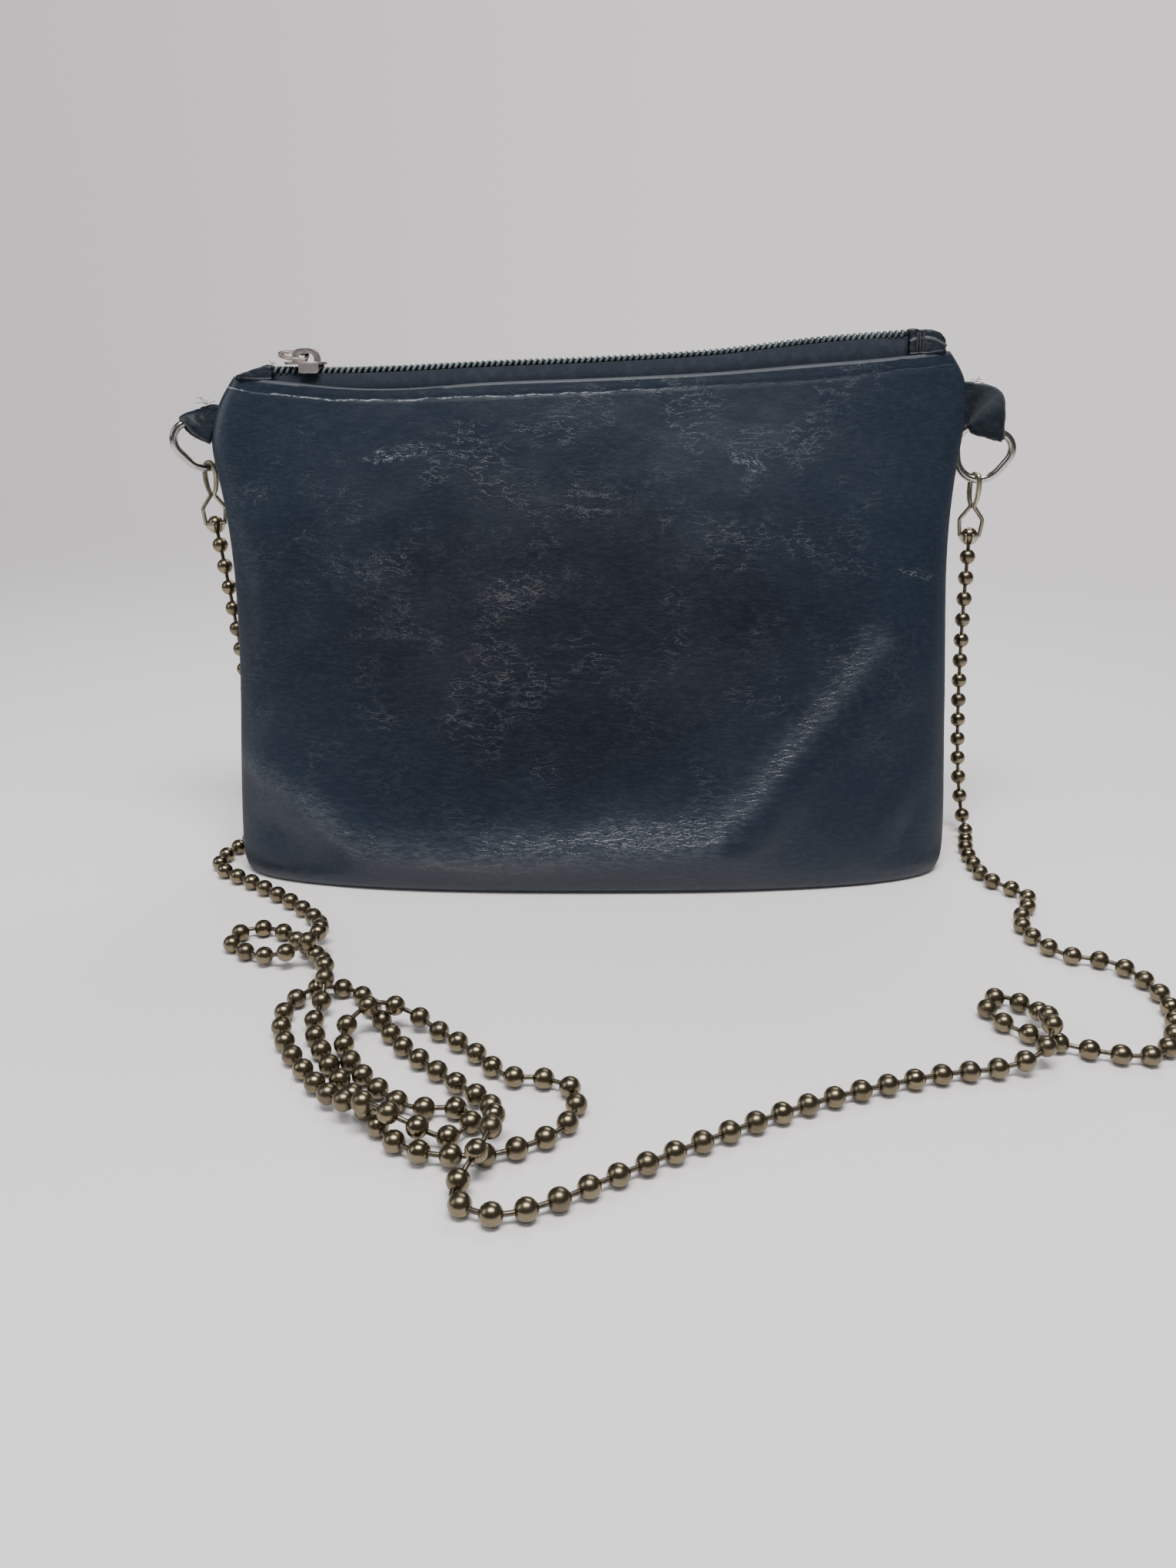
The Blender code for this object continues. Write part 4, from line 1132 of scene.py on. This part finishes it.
for name, (start, *tips) in frays.items():
    start = Vector(start)
    threads = []
    for tip_x, tip_z, bend in tips:
        tip = start + Vector((tip_x, 0, tip_z))
        middle = (start + tip) / 2 + Vector((-tip_z, 0, tip_x)).normalized() * bend
        threads.append(tube_mesh(smooth_path([start, middle, tip], 5), loose_thread_radius, 5))
    add_piece(name, joined_mesh(threads), thread_material)

# Connectors
# A clip bent from one brass wire: an eye round the ring, a neck, and two legs that end at the sides
# of a small slotted cup. The chain's end bead sits in the cup with its pin in the slot.
brass = (0.40, 0.375, 0.280, 1)
brass_dark = (0.18, 0.165, 0.120, 1)
bead_bright = (0.208, 0.174, 0.114, 1)
bead_dark = (0.116, 0.096, 0.066, 1)
clip_wire = 0.0012
end_bead_radius = 0.00215
end_bead_hole = 0.0005
bead_drop = 0.0161
cup_radius = 0.00262
cup_wall = 0.00034
cup_gap = math.radians(34)

# The cup's foot as radius and height, then the turn where its round side starts and how far the
# side turns from there to the rim, in radians
cup_foot = [(0.0008, -0.00252), (0.0014, -0.00224)]
cup_start = 0.9
cup_turn = 0.9
cup_steps = 9

# Down the wire from the top of its eye: how far it is from the clip's middle, its turn about the
# middle in degrees, its height in metres, and the wire's thickness as a share
clip_bends = [
    (0.0, 58, 0.0, 1.2),
    (0.00130, 58, -0.00045, 1.2),
    (0.00185, 56, -0.0018, 1.2),
    (0.00180, 52, -0.0044, 1.2),
    (0.00125, 46, -0.0067, 1.1),
    (0.00058, 30, -0.0083, 1.0),
    (0.00130, 6, -0.0096, 0.95),
    (0.00275, 0, -0.0116, 0.92),
    (0.00290, 0, -0.0128, 0.92),
    (0.00265, 0, -0.0150, 0.92),
    (0.00248, 0, -0.0163, 0.92),
]
clip_brass = metal_material("clip brass", brass, brass_dark, 300.0, 0.60, 0.30, 0.46, 0.06)
bead_brass = metal_material("bead brass", bead_bright, bead_dark, 170.0, 0.75, 0.23, 0.37, 0.03)


def turned_mesh(profile, steps, gap=0.0):
    """A form turned on a lathe round Z, which can have a gap at its front from top to bottom. The
    profile is rows of radius and height."""
    whole = gap == 0.0
    start = 0.0 if whole else gap / 2 - math.pi / 2
    count = steps if whole else steps + 1
    angles = [start + (2 * math.pi - gap) * step / steps for step in range(count)]
    rows = []
    for radius, height in profile:
        rows.append([(radius * math.cos(a), radius * math.sin(a), height) for a in angles])
    return skinned_mesh(rows, whole, whole)


def ball_profile(radius, rows, hole):
    """Half a circle of rows from one end hole to the other."""
    first = math.asin(hole / radius)
    profile = []
    for step in range(rows):
        angle = first + (math.pi - 2 * first) * step / (rows - 1)
        profile.append((radius * math.sin(angle), -radius * math.cos(angle)))
    return profile


def clip_leg(sign):
    """One side of the clip's wire, from the top of its eye down, with its thickness as a share."""
    leg = []
    for spread, angle, height, share in clip_bends:
        aside = sign * spread * math.cos(math.radians(angle))
        ahead = -sign * spread * math.sin(math.radians(angle))
        leg.append(Vector((aside, ahead, height, share)))
    return leg


clip_course = smooth_path(list(reversed(clip_leg(-1))) + clip_leg(1)[1:], 6)
cup_turns = [cup_start + cup_turn * step / cup_steps for step in range(cup_steps + 1)]
cup_side = [(cup_radius * math.sin(turn), -cup_radius * math.cos(turn)) for turn in cup_turns]
chain_ends = {}
for side in ("left", "right"):
    low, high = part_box("connector_" + side)
    top = Vector(((low[0] + high[0]) / 2, (low[1] + high[1]) / 2, high[2] - clip_wire / 2))
    chain_ends[side] = top - Vector((0, 0, bead_drop))
    turn = Matrix.Translation(top) @ Matrix.Rotation(ring_turns[side][0], 4, "Z")
    shares = [point.w for point in clip_course]
    points = [turn @ point.to_3d() for point in clip_course]
    wire = wire_mesh(points, clip_wire, roundness=4, shares=shares)
    cup = place_object("draft", turned_mesh(cup_foot + cup_side, 40, cup_gap))
    cup.data.transform(turn @ Matrix.Translation((0, 0, -bead_drop)))
    wall = cup.modifiers.new("wall", "SOLIDIFY")
    wall.thickness = cup_wall
    wall.offset = -1
    clip = joined_mesh([wire, settled_mesh(cup)])
    add_piece("clip_" + side, clip, clip_brass, "connector_" + side)
    end_bead = turned_mesh(ball_profile(end_bead_radius, 15, end_bead_hole), 28)
    end_bead.transform(Matrix.Translation(chain_ends[side]))
    add_piece("end_bead_" + side, end_bead, bead_brass)

# Ball chain
# About 1.0 m of antique brass ball chain: hollow beads on short pins, free to bend between beads.
# It hangs from both connectors and lies in front of the pouch in loops that cross each other.
bead_radius = 0.0021
bead_hole = 0.0007
bead_pitch = 0.00575
pin_radius = 0.00050
pin_bright = (0.15, 0.130, 0.100, 1)
pin_dark = (0.07, 0.060, 0.046, 1)

# Its course from the left clip to the right one, as X, Y and Z. Where no Z is given it lies flat.
chain_route = [
    (-0.0996, 0.0265, 0.0685), (-0.0970, 0.0255, 0.0378), (-0.0958, 0.0230, 0.0147),
    (-0.0962, 0.0170, 0.0038), (-0.0976, 0.0090), (-0.1005, -0.0010), (-0.0985, -0.0090),
    (-0.0870, -0.0185), (-0.0740, -0.0305), (-0.0665, -0.0400, 0.0023), (-0.0635, -0.0510, 0.0053),
    (-0.0640, -0.0580, 0.0066), (-0.0690, -0.0595, 0.0042), (-0.0770, -0.0570), (-0.0840, -0.0515),
    (-0.0825, -0.0445), (-0.0750, -0.0445), (-0.0670, -0.0525), (-0.0605, -0.0630, 0.0042),
    (-0.0576, -0.0725, 0.0066), (-0.0570, -0.0800, 0.0034), (-0.0570, -0.0880), (-0.0510, -0.1015),
    (-0.0420, -0.1150), (-0.0355, -0.1245), (-0.0275, -0.1290, 0.0025), (-0.0160, -0.1280),
    (-0.0055, -0.1210), (-0.0034, -0.1105), (-0.0095, -0.1059), (-0.0168, -0.1048), (-0.0230, -0.0974),
    (-0.0310, -0.0895), (-0.0375, -0.0848, 0.0038), (-0.0445, -0.0858, 0.0066),
    (-0.0500, -0.0895, 0.0034), (-0.0480, -0.0985), (-0.0410, -0.1085), (-0.0335, -0.1148),
    (-0.0248, -0.1154), (-0.0220, -0.1193), (-0.0260, -0.1240, 0.0023), (-0.0330, -0.1232, 0.0050),
    (-0.0400, -0.1203, 0.0067), (-0.0470, -0.1145, 0.0036), (-0.0540, -0.1055), (-0.0615, -0.0935),
    (-0.0645, -0.0815), (-0.0600, -0.0720), (-0.0510, -0.0735), (-0.0453, -0.0820), (-0.0385, -0.0940),
    (-0.0290, -0.1045), (-0.0200, -0.1138, 0.0027), (-0.0176, -0.1220, 0.0053),
    (-0.0184, -0.1298, 0.0068), (-0.0218, -0.1348, 0.0034), (-0.0230, -0.1400), (-0.0160, -0.1436),
    (-0.0066, -0.1404), (0.0030, -0.1345), (0.0225, -0.1230), (0.0430, -0.1125), (0.0650, -0.1050),
    (0.0785, -0.1026, 0.0023), (0.0870, -0.0998, 0.0042), (0.0910, -0.0930, 0.0067),
    (0.0920, -0.0825, 0.0029), (0.0870, -0.0755), (0.0825, -0.0810), (0.0870, -0.0896),
    (0.0990, -0.0965), (0.1105, -0.0978), (0.1185, -0.0880), (0.1218, -0.0750), (0.1180, -0.0615),
    (0.1075, -0.0560), (0.1033, -0.0455), (0.1046, -0.0376), (0.1098, -0.0286), (0.1088, -0.0230),
    (0.1032, -0.0135), (0.1035, 0.0030), (0.1073, 0.0170, 0.0025), (0.1072, 0.0240, 0.0088),
    (0.1050, 0.0255, 0.0265), (0.1030, 0.0258, 0.0546),
]
course = []
for place in chain_route:
    height = place[2] if len(place) == 3 else bead_radius
    course.append(Vector((place[0], place[1], height)))
chain_path = smooth_path([chain_ends["left"], *course, chain_ends["right"]], 10)
for point in chain_path:
    point.z = max(point.z, bead_radius)
bead = bpy.data.objects.new("bead", turned_mesh(ball_profile(bead_radius, 8, bead_hole), 14))
chain = row_of_parts(chain_path, bead, bead_pitch, 1.0, bead_brass)
add_piece("ball_chain", chain, None, "chain")

# One thin wire through all the beads, which shows between them as their pins
pin_brass = metal_material("pin brass", pin_bright, pin_dark, 900.0, 0.8, 0.30, 0.50, 0.10)
add_piece("chain_pins", tube_mesh(chain_path, pin_radius, 8), pin_brass)
